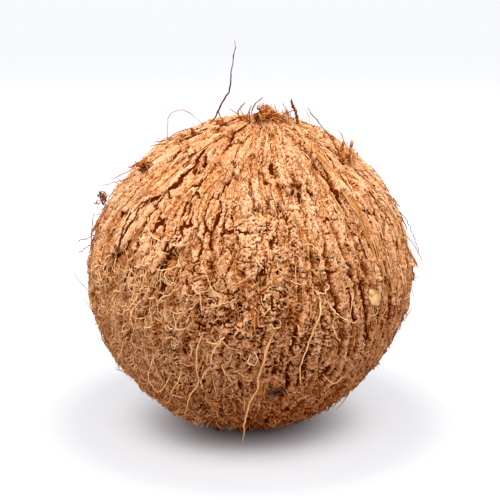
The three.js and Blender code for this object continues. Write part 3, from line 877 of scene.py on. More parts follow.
def matted_coir(colours):
    """Coir, torn and matted: ragged flakes with painted highlights on their torn edges and painted
    shade in the gaps under them, crumbs with painted shade in the creases between them, threads,
    short slots dark with painted shade, and painted shade, dark red-brown, deep in its cracks."""
    material, tree, shader = dry_material("matted coir", 0.95)
    place, tone, gap, matted, combed = (
        add_node(tree, "ShaderNodeAttribute", {"attribute_name": name}).outputs
        for name in ("fibre_place", "tone", "gap", "matted", "combed"))
    place, tone, gap = place["Vector"], tone["Fac"], gap["Fac"]
    matted, combed = matted["Fac"], combed["Fac"]
    spot = add_node(tree, "ShaderNodeTexCoord").outputs["Object"]
    along = add_node(tree, "ShaderNodeSeparateXYZ", None, {"Vector": place}).outputs["Z"]
    fine, patches = (
        add_node(tree, "ShaderNodeTexNoise", None, {
            "Vector": spot, "Scale": 1 / (size * MILLIMETRE), "Detail": 2.0}).outputs["Fac"]
        for size in (0.55, 3.0))
    here = showing(tree, patches, 0.4, 0.52)
    elsewhere = showing(tree, patches, 0.54, 0.44)
    crumbly = showing(tree, matted, 0.62, 1.0)
    # Threads where it is combed, and short slots along the fibres, dark with painted shade.
    streaks = stretched_noise(tree, place, 0.5, 3.4, 3.0)
    threads = showing(tree, streaks, 0.42, 0.58, combed)
    slivers = stretched_noise(tree, place, 0.42, 1.7)
    less_matted = sum_of(tree, (matted, -0.7), (1.0, 1.0))
    slots = showing(tree, slivers, 0.43, 0.37, here, less_matted)
    # Flakes with painted highlights on their edges over painted shade in the gaps, large ones here
    # and small ones elsewhere.
    up, soft = ragged_layers(tree, spot, along, 2.1)
    small_up, small_soft = ragged_layers(tree, spot, along, 1.1)
    edges = showing(tree, up, 0.14, 0.03, matted)
    gaps = showing(tree, up, 0.78, 0.92, here, matted)
    small_gaps = showing(tree, small_up, 0.72, 0.9, elsewhere, crumbly)
    # Crumbs, with painted shade in the creases between them.
    own, inside = crumbled(tree, spot, 1.3)
    crumbs = add_node(tree, "ShaderNodeMath", {"operation": "MULTIPLY"}, {
        0: own, 1: matted}).outputs["Value"]
    creases = showing(tree, inside, 0.12, 0.04, elsewhere, crumbly)
    grains = showing(tree, fine, 0.4, 0.6)
    # Cracks with a ragged edge, dark with painted shade, and a painted highlight on the rim beside
    # each.
    outside = sum_of(tree, (gap, 1.0), (fine, CRACK_RAGGED), (1.0, -CRACK_RAGGED / 2))
    cracks = showing(tree, outside, 0.1, -0.12)
    lit_rims = showing(tree, outside, 0.2, 0.3, showing(tree, outside, 0.75, 0.4))
    shade = sum_of(tree, (tone, 1.0), (threads, 0.46), (crumbs, 0.38), (soft, 0.26),
                   (small_soft, 0.2), (grains, 0.28), (edges, 0.16), (lit_rims, 0.12),
                   (gaps, -0.46), (small_gaps, -0.18), (creases, -0.14), (slots, -0.4),
                   (cracks, -0.9), (1.0, -0.5))
    raised = sum_of(tree, (threads, 0.5), (up, -0.35), (small_up, -0.12), (crumbs, 0.3),
                    (grains, 0.12), (gaps, -0.4), (creases, -0.3), (slots, -0.6),
                    (cracks, -0.8))
    finish_material(tree, shader, shade, coir_browns(colours), raised, (0.6, 0.32),
                    underside(colours))
    return material


# Grain of crumbled pith, as fibrous_material takes it.
PITH_GRAIN = (0.5, 0.8, 0.4, 0.4, 0.3, 0.3)


def pith_crumbs(colours):
    """Coir pith, crumbled: dusty cork-like grains, some fresh and some dark."""
    return fibrous_material("pith crumbs", coir_browns(colours), PITH_GRAIN, (0.6, 0.3),
                            0.97, underside(colours))


def bare_chip(colours):
    """Coir pith, freshly broken: a bright straw-yellow chip, dry and a little mottled."""
    stops = [(0.0, colours.coir), (0.5, colours.chip), (1.0, colours.chip)]
    return fibrous_material("bare pith chip", stops, PITH_GRAIN, (0.4, 0.3), 0.97,
                            underside(colours, 0.0))


def single_fibre(colours, underside_darkening=0.9):
    """Coir fibre, combed loose: a stiff straw-brown thread, dry and matt."""
    stops = [(0.0, colours.pit), (0.2, colours.old_coir), (0.42, colours.coir),
             (0.7, colours.fresh_fibre), (1.0, colours.pale_fibre)]
    return fibrous_material("single fibre", stops, (0.4, 3.0, 0.6, 0.8, 0.3, 0.3),
                            (0.3, 0.2), 0.72, underside(colours, underside_darkening))


# The coat

# Rings of the coat from the rest to the stalk end, how far it lies inside the outline,
# how far short of the stalk's middle it ends, and how far fibres stay off the floor.
COAT_RINGS = 400
COAT_SUNK = 0.25
COAT_TOP_GAP = 0.4
FLOOR_GAP = 0.3
# Tone of the plain coat, on a scale from dark red-brown at 0 to pale pith at 1.
COAT_TONE = 0.6
# Segments of the coat, as of an orange: name, first and last degrees round, columns.
SEGMENTS = (("coat_left", 174, 268, 236), ("coat_right", 268, 366, 240),
            ("coat_back", 6, 174, 150))


def segment_sheet(name, columns):
    """A grid primitive whose border is extruded downwards, to become the cut faces."""
    deselect_all()
    bpy.ops.mesh.primitive_grid_add(x_subdivisions=columns, y_subdivisions=COAT_RINGS, size=2)
    piece = bpy.context.object
    piece.name = name
    piece.data.name = name
    bpy.ops.object.mode_set(mode="EDIT")
    bpy.ops.mesh.select_all(action="SELECT")
    bpy.ops.mesh.region_to_loop()
    bpy.ops.mesh.mark_sharp()
    bpy.ops.mesh.extrude_region_move(TRANSFORM_OT_translate={"value": (0, 0, -1)})
    bpy.ops.object.mode_set(mode="OBJECT")
    return piece


def raised_above(grid, rounds):
    """How far each point of a grid of lifts stands above those around it."""
    soft = grid
    for _ in range(rounds):
        wide = np.pad(soft, 1, mode="edge")
        soft = (wide[:-2, 1:-1] + wide[2:, 1:-1] + wide[1:-1, :-2] + wide[1:-1, 2:]) / 4
    return grid - soft


def hollow_shade_and_ridge_light(flat, lift, columns):
    """Painted shade in the hollows of the coat and painted light on its ridges."""
    column = np.rint((flat[:, 0] + 1) / 2 * columns).astype(int)
    ring = np.rint((flat[:, 1] + 1) / 2 * COAT_RINGS).astype(int)
    grid = np.zeros((columns + 1, COAT_RINGS + 1))
    grid[column, ring] = lift
    near = np.clip(raised_above(grid, 10), -0.7, 0.2)
    broad = np.clip(raised_above(grid, 60), -1.2, 0.4)
    return (0.4 * near + 0.14 * broad)[column, ring]


class COCONUT_OT_coat(bpy.types.Operator):
    """Shapes grids into the segments of the coat of matted coir"""

    bl_idname = "coconut.coat"
    bl_label = "Coat"

    def execute(self, context):
        nut = Nut(context.scene.coconut_sizes)
        material = matted_coir(context.scene.coconut_colours)
        for name, low, high, columns in SEGMENTS:
            piece = segment_sheet(name, columns)
            self.bend(nut, piece.data, columns, math.radians(low), math.radians(high))
            bpy.ops.object.mode_set(mode="EDIT")
            bpy.ops.mesh.select_all(action="SELECT")
            bpy.ops.mesh.remove_doubles(threshold=1e-7)
            bpy.ops.mesh.normals_make_consistent(inside=False)
            bpy.ops.object.mode_set(mode="OBJECT")
            finish_piece(piece, material)
        return {"FINISHED"}

    def bend(self, nut, mesh, columns, low, high):
        """Bends a flat sheet over the nut, and brings its extruded border to the axis."""
        flat = np.zeros(len(mesh.vertices) * 3, np.float32)
        mesh.vertices.foreach_get("co", flat)
        flat = flat.reshape(-1, 3).astype(float)
        angle = between(low, high, (flat[:, 0] + 1) / 2)
        length = (nut.length - COAT_TOP_GAP) * (flat[:, 1] + 1) / 2
        lift, tone, gap = nut.surface(angle, length)
        lift = (lift - COAT_SUNK) * nut.fade(length)
        points = nut.point(angle, length, lift)
        points[:, 2] = np.maximum(points[:, 2], 0)
        inner = flat[:, 2] < -0.5
        height = nut.height_at(length)
        lean = nut.tip_shift * (height / nut.height) ** TIP_SHARPNESS
        axis = np.stack([lean, 0 * lean, height], 1)
        points[inner] = axis[inner]
        mesh.vertices.foreach_set("co", (points * MILLIMETRE).astype(np.float32).reshape(-1))
        # Painted shade in the low places and hollows, painted light on the ridges.
        tone = COAT_TONE + tone + 0.04 * lift + hollow_shade_and_ridge_light(flat, lift, columns)
        matted, combed = nut.fine_texture(angle, length)
        write_attributes(mesh, nut.fibre_place(angle, length), tone=np.clip(tone, 0, 1),
                         gap=np.minimum(gap, 1.0), matted=matted, combed=combed)
        mesh.update()
        mesh.shade_smooth()


# Pieces made of many copies of one shape

def repeat_faces(faces, points_each, copies):
    """The faces of many copies of one shape, an array for each number of corners."""
    out = []
    for size in sorted({len(face) for face in faces}):
        group = np.array([face for face in faces if len(face) == size])
        offsets = (np.arange(copies) * points_each)[:, None, None]
        out.append((group[None] + offsets).reshape(-1, size))
    return out


def read_shape(piece):
    """The points and faces of a primitive, which is then removed."""
    mesh = piece.data
    points = np.array([vertex.co for vertex in mesh.vertices], float)
    faces = [list(polygon.vertices) for polygon in mesh.polygons]
    bpy.data.objects.remove(piece)
    bpy.data.meshes.remove(mesh)
    return points, faces


def thread_shape(sides, rings):
    """One straight thread of unit radius: a cylinder cut into rings along its length."""
    deselect_all()
    bpy.ops.mesh.primitive_cylinder_add(
        vertices=sides, radius=1, depth=1, end_fill_type="NGON", location=(0, 0, 0.5))
    piece = bpy.context.object
    bpy.ops.object.transform_apply(location=True)
    bpy.ops.object.mode_set(mode="EDIT")
    for ring in range(1, rings - 1):
        bpy.ops.mesh.select_all(action="SELECT")
        bpy.ops.mesh.bisect(plane_co=(0, 0, ring / (rings - 1)), plane_no=(0, 0, 1))
    bpy.ops.object.mode_set(mode="OBJECT")
    return read_shape(piece)


def bend_threads(nut, shape, rings, routes, widths, thicknesses):
    """Bends copies of a thread along routes: arrays of copy, ring and point."""
    points, _ = shape
    ring = np.rint(points[:, 2] * (rings - 1)).astype(int)
    along = np.gradient(routes, axis=1)
    along /= np.linalg.norm(along, axis=2, keepdims=True) + 1e-9
    outward = routes - np.array([0, 0, nut.girth_height])
    side = np.cross(along, outward)
    side /= np.linalg.norm(side, axis=2, keepdims=True) + 1e-9
    off = np.cross(along, side)
    bent = (routes[:, ring] + side[:, ring] * (points[:, 0] * widths[:, ring])[..., None]
            + off[:, ring] * (points[:, 1] * thicknesses[:, ring])[..., None])
    bent[..., 2] = np.maximum(bent[..., 2], FLOOR_GAP)
    return bent, ring


def make_threads(nut, name, shape, rings, routes, widths, thicknesses, tones, material):
    """One piece of many threads, each with its own tone."""
    bent, ring = bend_threads(nut, shape, rings, routes, widths, thicknesses)
    copies, each = bent.shape[:2]
    angle = np.arctan2(bent[..., 1], bent[..., 0])
    own = 60 * draw(np.arange(copies), 3, 8)[:, None, None]
    place = nut.fibre_place(angle, (ring / rings * 12)[None]) + own
    return make_piece(name, bent.reshape(-1, 3), repeat_faces(shape[1], each, copies),
                      place.reshape(-1, 3), tones[:, ring].reshape(-1), material)


def taper(rings, root, tip, sharp=0.12):
    """Radius along a thread, from root to tip, drawn to a point at its end."""
    share = np.linspace(0, 1, rings)
    return between(root, tip, share) * np.minimum(1, 0.25 + (1 - share) / sharp)


# Scraps of husk and flakes of pith

# Bare chips of pith that stand out: degrees round, height, width and lift.
CHIPS = ((318, 61.6, 6.6, 2.0), (316.4, 64.2, 2.6, 1.6), (297, 74, 1.1, 0.7),
         (250, 66, 1.0, 0.6), (60, 80, 1.5, 0.8))
CHIP_TONE = 0.8
FLAKE_CORNERS = 6


def scatter(nut, rng, count, low=3.0, high=117.0):
    """Places spread evenly over the nut: angles and lengths along the outline."""
    return rng.uniform(-math.pi, math.pi, count), nut.length_at(rng.uniform(low, high, count))


def flake_shape():
    """A thin six-sided scrap, flat and of unit size."""
    deselect_all()
    bpy.ops.mesh.primitive_cylinder_add(
        vertices=FLAKE_CORNERS, radius=1, depth=1, end_fill_type="NGON")
    return read_shape(bpy.context.object)


def make_flakes(nut, name, rng, angle, length, wide, tall, rise, tones, material):
    """One piece of many torn scraps: each is stuck at its upper end and lifts below."""
    shape, faces = flake_shape()
    count, each = len(angle), len(shape)
    combed = 1 - nut.roughness(angle, length)
    turn = rng.normal(0, between(0.9, 0.2, combed))
    corner = np.rint(np.arctan2(shape[:, 1], shape[:, 0]) / math.tau * FLAKE_CORNERS).astype(int)
    corner = corner % FLAKE_CORNERS
    reach = rng.uniform(0.6, 1.25, (count, FLAKE_CORNERS))[:, corner]
    ripple = rng.uniform(-0.16, 0.16, (count, FLAKE_CORNERS))[:, corner]
    x = shape[None, :, 0] * reach * wide[:, None] / 2
    y = shape[None, :, 1] * reach * tall[:, None] / 2
    cos, sin = np.cos(turn)[:, None], np.sin(turn)[:, None]
    around, up = x * cos - y * sin, x * sin + y * cos
    share = 0.5 - up / (np.abs(up).max(1, keepdims=True) * 2)
    top = shape[None, :, 2] > 0
    thick = rng.uniform(0.22, 0.42, (count, 1))
    base = nut.coat_lift(angle, length)[:, None]
    lift = base - 0.15 + rise[:, None] * share ** 1.3 + ripple + np.where(top, thick, 0)
    radius = np.maximum(nut.radius_at(length), 4)[:, None]
    angles = angle[:, None] + around / radius
    lengths = np.clip(length[:, None] + up, 1, nut.length - 0.5)
    points = nut.point(angles, lengths, lift).reshape(-1, 3)
    points[:, 2] = np.maximum(points[:, 2], FLOOR_GAP)
    # Their undersides are darker: painted shade.
    tone = tones[:, None] + np.where(top, 0.0, -0.35) + 0.12 * share + ripple
    own = 60 * rng.random((count, 1, 1))
    make_piece(name, points, repeat_faces(faces, each, count),
               (nut.fibre_place(angles, lengths) + own).reshape(-1, 3),
               tone.reshape(-1), material, flat=True)


class COCONUT_OT_flakes(bpy.types.Operator):
    """Covers the coat with torn scraps of husk, small flakes of pith and a few bare chips"""

    bl_idname = "coconut.flakes"
    bl_label = "Flakes"

    def execute(self, context):
        sizes = context.scene.coconut_sizes
        nut = Nut(sizes)
        material = pith_crumbs(context.scene.coconut_colours)
        kinds = (("husk_flakes", 31, sizes.flake_count, 1.15, 1.0),
                 ("pith_flakes", 32, sizes.crumb_count, 0.9, 0.6))
        for name, seed, count, size, rise in kinds:
            rng = np.random.default_rng(seed)
            angle, length = scatter(nut, rng, count)
            height = nut.height_at(length)
            front = near_angle(angle, FRONT, 60) * smooth((height - 50) / 24)
            kept = rng.random(count) > 0.6 * front
            angle, length, height = angle[kept], length[kept], height[kept]
            count = len(angle)
            rough = nut.roughness(angle, length)
            sheet = nut.plate_cover(angle, length)
            wide = size * between(0.5, 1.35, rng.random(count) ** 1.4)
            wide = wide * between(0.75, 1.0, rough) * (1 - 0.3 * sheet)
            tall = wide * between(3.0, 1.2, rough) * rng.uniform(0.7, 1.4, count)
            lifts = rise * between(0.15, 1.0, rng.random(count) ** 1.5) * (1 - 0.35 * sheet)
            tones = between(0.4, 0.66, rng.random(count)) + 0.14 * smooth((height - 40) / 40)
            make_flakes(nut, name, rng, angle, length, wide, tall, lifts, tones, material)
        degrees, heights, wide, lifts = np.array(CHIPS).T
        make_flakes(nut, "bare_chips", np.random.default_rng(33), np.radians(degrees),
                    nut.length_at(heights), wide, wide, lifts, np.full(len(CHIPS), CHIP_TONE),
                    bare_chip(context.scene.coconut_colours))
        return {"FINISHED"}


# Matted fibres and fuzz

# Of each part: name, seed, lowest and highest level, share of the count, rings.
FIBRE_PARTS = (("fibres_lower", 41, 4.0, 62.0, 0.8, 8),
               ("fibres_upper", 42, 60.0, 119.0, 0.35, 8),
               ("fibres_curled", 43, 8.0, 92.0, 0.28, 11))
# Tones that a matted fibre may have, and the share of the fibres with each.
FIBRE_TONES, FIBRE_TONE_SHARES = (0.1, 0.4, 0.7, 1.0), (0.3, 0.24, 0.26, 0.2)


def scatter_covered(nut, rng, count, low, high, curls):
    """Places spread over the nut as thickly as its loose fibres lie, or its long curls."""
    angle, length = scatter(nut, rng, count * 12, low, high)
    cover = nut.curl_cover(angle, length) if curls else nut.fibre_cover(angle, length)
    kept = np.flatnonzero(rng.random(count * 12) < cover)[:count]
    return angle[kept], length[kept]


def matted_routes(nut, rng, count, rings, low, high, curls):
    """Routes of fibres that lie on the coat: combed where it is in strips, and curled
    where it is matted."""
    angle, length = scatter_covered(nut, rng, count, low, high, curls)
    count = len(angle)
    left = near_angle(angle, LEFT, 40) * smooth((100 - nut.height_at(length)) / 30)
    matted = np.clip(nut.roughness(angle, length) ** 1.5 + 0.55 * left, 0, 1)
    curled = rng.random(count) < (0.9 if curls else 0.05 + 0.9 * matted)
    shortest, longest = (4.0, 13.0) if curls else (1.8, 7.0)
    reach = np.where(curled, between(shortest, longest, rng.random(count) ** 1.6),
                     rng.uniform(3, 12, count))
    heading = rng.normal(0, np.where(curled, 0.9, 0.12), count)
    bend = rng.normal(0, np.where(curled, 0.3, 0.02), count)
    sway = rng.normal(0, np.where(curled, 1.2, 0.05), count)
    phase = rng.uniform(0, 2 * math.pi, count)
    step = reach / (rings - 1)
    angles, lengths = [angle], [length]
    for ring in range(1, rings):
        curve = bend + sway * np.sin(phase + 2.1 * ring)
        heading = heading + curve * step
        lengths.append(np.clip(lengths[-1] - np.cos(heading) * step, 2, nut.length - 1))
        radius = np.maximum(nut.radius_at(lengths[-1]), 5)
        angles.append(angles[-1] + np.sin(heading) * step / radius)
    angles, lengths = np.stack(angles, 1), np.stack(lengths, 1)
    under = nut.coat_lift(angles, lengths)
    under = 0.4 * under + 0.6 * under.mean(1, keepdims=True)
    share = np.linspace(0, 1, rings)[None]
    hump = np.where(curled, rng.uniform(0.1, 1.0, count), rng.uniform(0.0, 0.4, count))
    free_end = np.where(rng.random(count) < 0.35, rng.uniform(0.3, 1.5, count), -0.5)
    lift = under + 0.25 + hump[:, None] * np.sin(math.pi * share) + free_end[:, None] * share ** 3
    lift[:, 0] -= 0.9
    return nut.point(angles, lengths, lift)


class COCONUT_OT_fibres(bpy.types.Operator):
    """Lays matted coir fibres over the coat, and long curled ones at the lower left"""

    bl_idname = "coconut.fibres"
    bl_label = "Matted Fibres"

    def execute(self, context):
        sizes = context.scene.coconut_sizes
        nut = Nut(sizes)
        material = single_fibre(context.scene.coconut_colours, 0.55)
        for name, seed, low, high, part, rings in FIBRE_PARTS:
            rng = np.random.default_rng(seed)
            shape = thread_shape(3, rings)
            routes = matted_routes(nut, rng, round(part * sizes.fibre_count), rings, low, high,
                                   name == "fibres_curled")
            count = len(routes)
            left = near_angle(np.arctan2(routes[:, 0, 1], routes[:, 0, 0]), LEFT, 40)
            radius = sizes.fibre_thickness / MILLIMETRE / 2
            radius = radius * between(0.5, 1.6, rng.random(count) ** 1.7)
            lumps = rng.uniform(0.75, 1.3, (count, rings))
            widths = radius[:, None] * taper(rings, 1.0, 0.7, 0.2)[None] * lumps
            tone = rng.choice(FIBRE_TONES, count, p=FIBRE_TONE_SHARES) + 0.28 * left
            tone = tone[:, None] + np.zeros((1, rings))
            make_threads(nut, name, shape, rings, routes, widths, widths, tone, material)
        return {"FINISHED"}


FUZZ_RINGS = 3


class COCONUT_OT_fuzz(bpy.types.Operator):
    """Adds the short stiff hairs that stand off the coat"""

    bl_idname = "coconut.fuzz"
    bl_label = "Fuzz"

    def execute(self, context):
        sizes = context.scene.coconut_sizes
        nut = Nut(sizes)
        rng = np.random.default_rng(51)
        count = sizes.fuzz_count
        angle, length = scatter(nut, rng, count, 3.0, 120.0)
        reach = between(0.8, 4.0, rng.random(count) ** 2.5)
        slant, turn = rng.uniform(0.2, 1.0, count), rng.normal(math.pi, 1.2, count)
        share = np.linspace(0, 1, FUZZ_RINGS)[None]
        run = (reach * np.sin(slant))[:, None] * share ** 1.4
        radius = np.maximum(nut.radius_at(length), 4)[:, None]
        angles = angle[:, None] + np.sin(turn)[:, None] * run / radius
        lengths = np.clip(length[:, None] + np.cos(turn)[:, None] * run, 1, nut.length - 0.3)
        base = nut.coat_lift(angle, length)[:, None] - 0.35
        lift = base + (reach * np.cos(slant) + 0.35)[:, None] * share
        routes = nut.point(angles, lengths, lift)
        radius = sizes.fuzz_thickness / MILLIMETRE / 2 * between(0.7, 1.4, rng.random(count))
        widths = radius[:, None] * taper(FUZZ_RINGS, 1.0, 0.6, 0.5)[None]
        tone = rng.uniform(0.05, 0.8, (count, 1)) + np.zeros((1, FUZZ_RINGS))
        make_threads(nut, "fuzz", thread_shape(3, FUZZ_RINGS), FUZZ_RINGS, routes, widths, widths,
                     tone, single_fibre(context.scene.coconut_colours))
        return {"FINISHED"}


# Loose strands and torn flakes

LONG_RINGS = 26
SHORT_RINGS = 12


def over(nut, degrees, height, lift):
    """A point over the coat: degrees round, height, and lift off the outline."""
    return nut.point(np.float64(math.radians(degrees)), nut.length_at(height), lift)


def smooth_route(points, rings):
    """Points spread evenly along a smooth curve through a few points."""
    points = np.array(points, float)
    ends = 2 * points[[0, -1]] - points[[1, -2]]
    padded = np.vstack([ends[:1], points, ends[1:]])
    gaps = np.linalg.norm(np.diff(padded, axis=0), axis=1)
    knots = np.concatenate([[0], np.cumsum(np.sqrt(gaps))])
    fine = []
    for i in range(1, len(padded) - 2):
        t = np.linspace(knots[i], knots[i + 1], 12, endpoint=i == len(padded) - 3)[:, None]
        k, p = knots[i - 1:i + 3], padded[i - 1:i + 3]
        first = [(k[j + 1] - t) / (k[j + 1] - k[j]) * p[j]
                 + (t - k[j]) / (k[j + 1] - k[j]) * p[j + 1] for j in range(3)]
        second = [(k[j + 2] - t) / (k[j + 2] - k[j]) * first[j]
                  + (t - k[j]) / (k[j + 2] - k[j]) * first[j + 1] for j in range(2)]
        fine.append((k[2] - t) / (k[2] - k[1]) * second[0] + (t - k[1]) / (k[2] - k[1]) * second[1])
    fine = np.vstack(fine)
    run = np.concatenate([[0], np.cumsum(np.linalg.norm(np.diff(fine, axis=0), axis=1))])
    even = np.linspace(0, run[-1], rings)
    return np.stack([np.interp(even, run, fine[:, axis]) for axis in range(3)], 1)


def named_strands(nut):
    """The strands that stand out: route, root thickness, tip thickness and tone."""
    def on(*places):
        return [over(nut, *place) for place in places]

    sunk = -ROOT_SUNK
    strands = [
        # The tall strand at the stalk end, with its fork.
        (on((188, 116, sunk)) + [(-11.4, 0.6, 121.5), (-9.2, 0, 125.6), (-6.9, -0.4, 129.6),
                                 (-6.2, -0.4, 135), (-5.4, 0, 142), (-4.7, 0.2, 146),
                                 (-4.8, 0.2, 148.4)], 0.7, 0.4, 0.05),
        (on((200, 118.6, sunk)) + [(-10.8, -0.3, 121.6), (-9.6, 0, 124.8)], 0.45, 0.3, 0.05),
        (on((255, 119.6, sunk)) + [(-2.6, -1.5, 122.6), (-0.8, -1, 125.6)], 0.45, 0.25, 0.2),
        (on((352, 118.6, sunk)) + [(18.0, -1.4, 121.2), (16.8, -1, 123.6), (16.1, -1, 126.6)],
         1.1, 1.2, 0.12),
        (on((8, 119, sunk)) + [(14.6, 1.5, 122), (12.8, 1.8, 125)], 0.35, 0.2, 0.15),
        (on((339, 109, sunk)) + [(30.5, -9.4, 113.8), (26.4, -9.0, 118.6), (21.6, -8.4, 124.8)],
         0.55, 0.35, 0.1),
        # The two prongs at the right shoulder.
        (on((337, 106.4, sunk)) + [(34.6, -12, 109), (35.2, -12, 113.2)], 1.5, 1.3, 0.34),
        (on((342, 105.6, sunk)) + [(37.8, -12, 109), (38.2, -12, 113.4)], 1.7, 1.2, 0.4),
        # Short dark bits left of the stalk end.
        (on((205, 113.6, -1), (205, 114.2, 0.6)) + [(-20.9, -9, 117.3)], 1.3, 1.0, 0.1),
        (on((210, 117.6, 0.2), (215, 118.6, 0.8), (222, 119.6, 1.6)), 0.8, 0.5, 0.08),
        (on((238, 119.2, sunk)) + [(-3.6, -4, 122.4), (-0.9, -3, 125.6)], 0.6, 0.35, 0.15),
        (on((178, 109, sunk)) + [(-30.2, 1, 115.6), (-29.4, 0.4, 120.2), (-25.4, -0.4, 122.4),
                                 (-20.6, -0.8, 120.6)] + on((186, 116.5, sunk)), 0.3, 0.25, 0.3),
        (on((96, 114, sunk)) + [(2, 27, 119), (6, 22, 124)], 0.6, 0.35, 0.3),
        # The strands that hang in front.
        (on((280, 56, sunk), (276.5, 50.5, 1.2)) + [
            (5.4, -60.4, 43.5), (3.8, -59.4, 38.6), (3.4, -58, 33.4), (0.8, -56, 27.4),
            (-0.8, -53.6, 19.6), (-1.9, -50.6, 10)], 0.9, 0.42, 0.74),
        (on((295, 67, sunk), (294, 61, 1.4), (291, 54, 2.2), (289, 47, 2.4), (288, 41, 2.6),
            (289.5, 34.5, 3)), 0.62, 0.35, 0.8),
        (on((296.5, 66, sunk), (300, 59.5, 1.8), (305.5, 56, 3), (311.5, 55.4, sunk)),
         0.4, 0.32, 0.85),
        (on((265, 56.5, sunk), (261.5, 52.6, 1.6), (259, 49, 2.4), (258, 44.5, 2.6)),
         0.55, 0.35, 0.85),
        (on((256, 55.5, sunk), (253.5, 49, 1.5), (252.7, 42, 2.4), (252, 35, 2.2),
            (247.5, 29.5, 3), (243, 22.5, 3), (237, 16, 3)), 0.55, 0.35, 0.8),
        (on((239, 48.5, sunk), (235, 40.5, 2), (231, 32.5, 3), (233, 28.6, 3), (238, 32, 2),
            (241, 38, sunk)), 0.4, 0.3, 0.9),
        (on((246.5, 42, sunk), (244, 34.5, 2), (239.5, 29, 3), (244.5, 28, 3)), 0.42, 0.3, 0.9),
        (on((301, 33.5, sunk), (304.5, 31.6, 2), (308.5, 34.5, 2.4)), 0.42, 0.3, 0.9),
        (on((255, 50.4, sunk), (258, 51.5, 1.6), (260, 51.6, 2), (262, 52.6, sunk)),
         0.5, 0.35, 0.85),
        (on((258, 42, sunk), (255, 39, 2), (253, 35.6, 2.2), (253, 32, 2.2)), 0.5, 0.35, 0.85),
        (on((299, 56, sunk), (299, 54.3, 1.6), (300, 51.4, 2), (302, 49.4, 2.2)), 0.45, 0.3, 0.9),
        (on((256, 62, sunk), (259, 64.4, 1.8), (265, 66.7, 1.6), (267, 67.4, sunk)),
         0.4, 0.3, 0.8),
        (on((264, 70.1, sunk), (267, 72.2, 1.6), (271, 75.2, 1.6), (273, 76.2, sunk)),
         0.4, 0.3, 0.85),
        (on((253, 81.5, sunk), (255, 76.9, 1.8), (257, 73.4, 1.6), (259, 68.8, 1.8)),
         0.4, 0.3, 0.85),
        (on((235, 74.6, sunk), (241, 74.9, 1.8), (246, 76.8, 2), (246, 79.5, 1)), 0.4, 0.3, 0.9),
        (on((271, 48.7, sunk), (273, 46.4, 2), (272.5, 43.6, 2), (270, 44.2, 2), (271, 47, 1)),
         0.4, 0.3, 0.95),
        (on((286, 84, sunk), (292, 83.5, 1.6), (295, 80.6, 2), (295, 76.7, 1.2)),
         0.4, 0.3, 0.85),
        (on((221, 49, sunk), (222, 43.1, 1.8), (213, 35.2, 2), (208, 30, 2)), 0.4, 0.3, 0.85),
        # The strands that break the outline at the two sides.
        (on((358, 88, sunk), (359, 81, 1.6), (0, 72, 3.6), (0.5, 65, 4.6)), 0.4, 0.25, 0.1),
        (on((1, 54, sunk), (0, 48, 2), (359, 41, 3.4)), 0.35, 0.25, 0.3),
        (on((181, 76, sunk), (180, 72.5, 2), (179.5, 70.5, 6)), 0.5, 0.3, 0.25),
        (on((184, 73, sunk), (183, 70, 1.6), (182.5, 67, 4.6)), 0.45, 0.3, 0.3),
        (on((178, 46, sunk), (179, 53, 2.4), (180, 59.5, 7)), 0.35, 0.2, 0.2),
        (on((186, 99, sunk), (184, 95, 1.4), (182.5, 91, 5)), 0.35, 0.2, 0.2),
    ]
    # The straight pale threads, side by side, at the right of the longest groove.
    for offset, start, end, tone in BUNDLE:
        places = BUNDLE_ROUTE[start:end]
        strands.append(([lying(nut, degrees + offset, height) for degrees, height in places],
                        0.66, 0.5, tone))
    return strands


# Of each thread: degrees to one side, first and last place of the route, and tone.
BUNDLE = ((-1.3, 1, 6, 0.6), (-0.9, 0, 7, 0.42), (-0.4, 0, 6, 0.66), (0.1, 0, 8, 0.52),
          (0.6, 1, 7, 0.64), (1.1, 2, 6, 0.4), (1.6, 2, 7, 0.6))


def lying(nut, degrees, height):
    """A point lying on the coat."""
    angle, length = np.float64(math.radians(degrees)), nut.length_at(height)
    return nut.point(angle, length, 0.1 + 0.7 * max(float(nut.coat_lift(angle, length)), -0.6))


def flake_routes(nut):
    """The torn flakes that stand out: route, width and tone."""
    sunk = -ROOT_SUNK
    places = (
        (((359, 72, sunk), (359, 67, 1.0), (359, 61.5, 3.6)), 3.4, 0.6),
        (((356, 68, sunk), (356, 65, 1.0), (356, 62, 2.6)), 3.0, 0.55),
        (((190, 108, sunk), (190, 103.5, 0.8), (190, 99, 2.8)), 2.4, 0.45),
    )
    flakes = [([over(nut, *place) for place in route], width, tone)
              for route, width, tone in places]
    # Torn upright at the right shoulder, behind two prongs.
    foot = [over(nut, 341, 104.5, sunk), over(nut, 341, 107, 1.2)]
    flakes.append((foot + [np.array((39.6, -12, 110.0))], 4.4, 0.6))
    return flakes


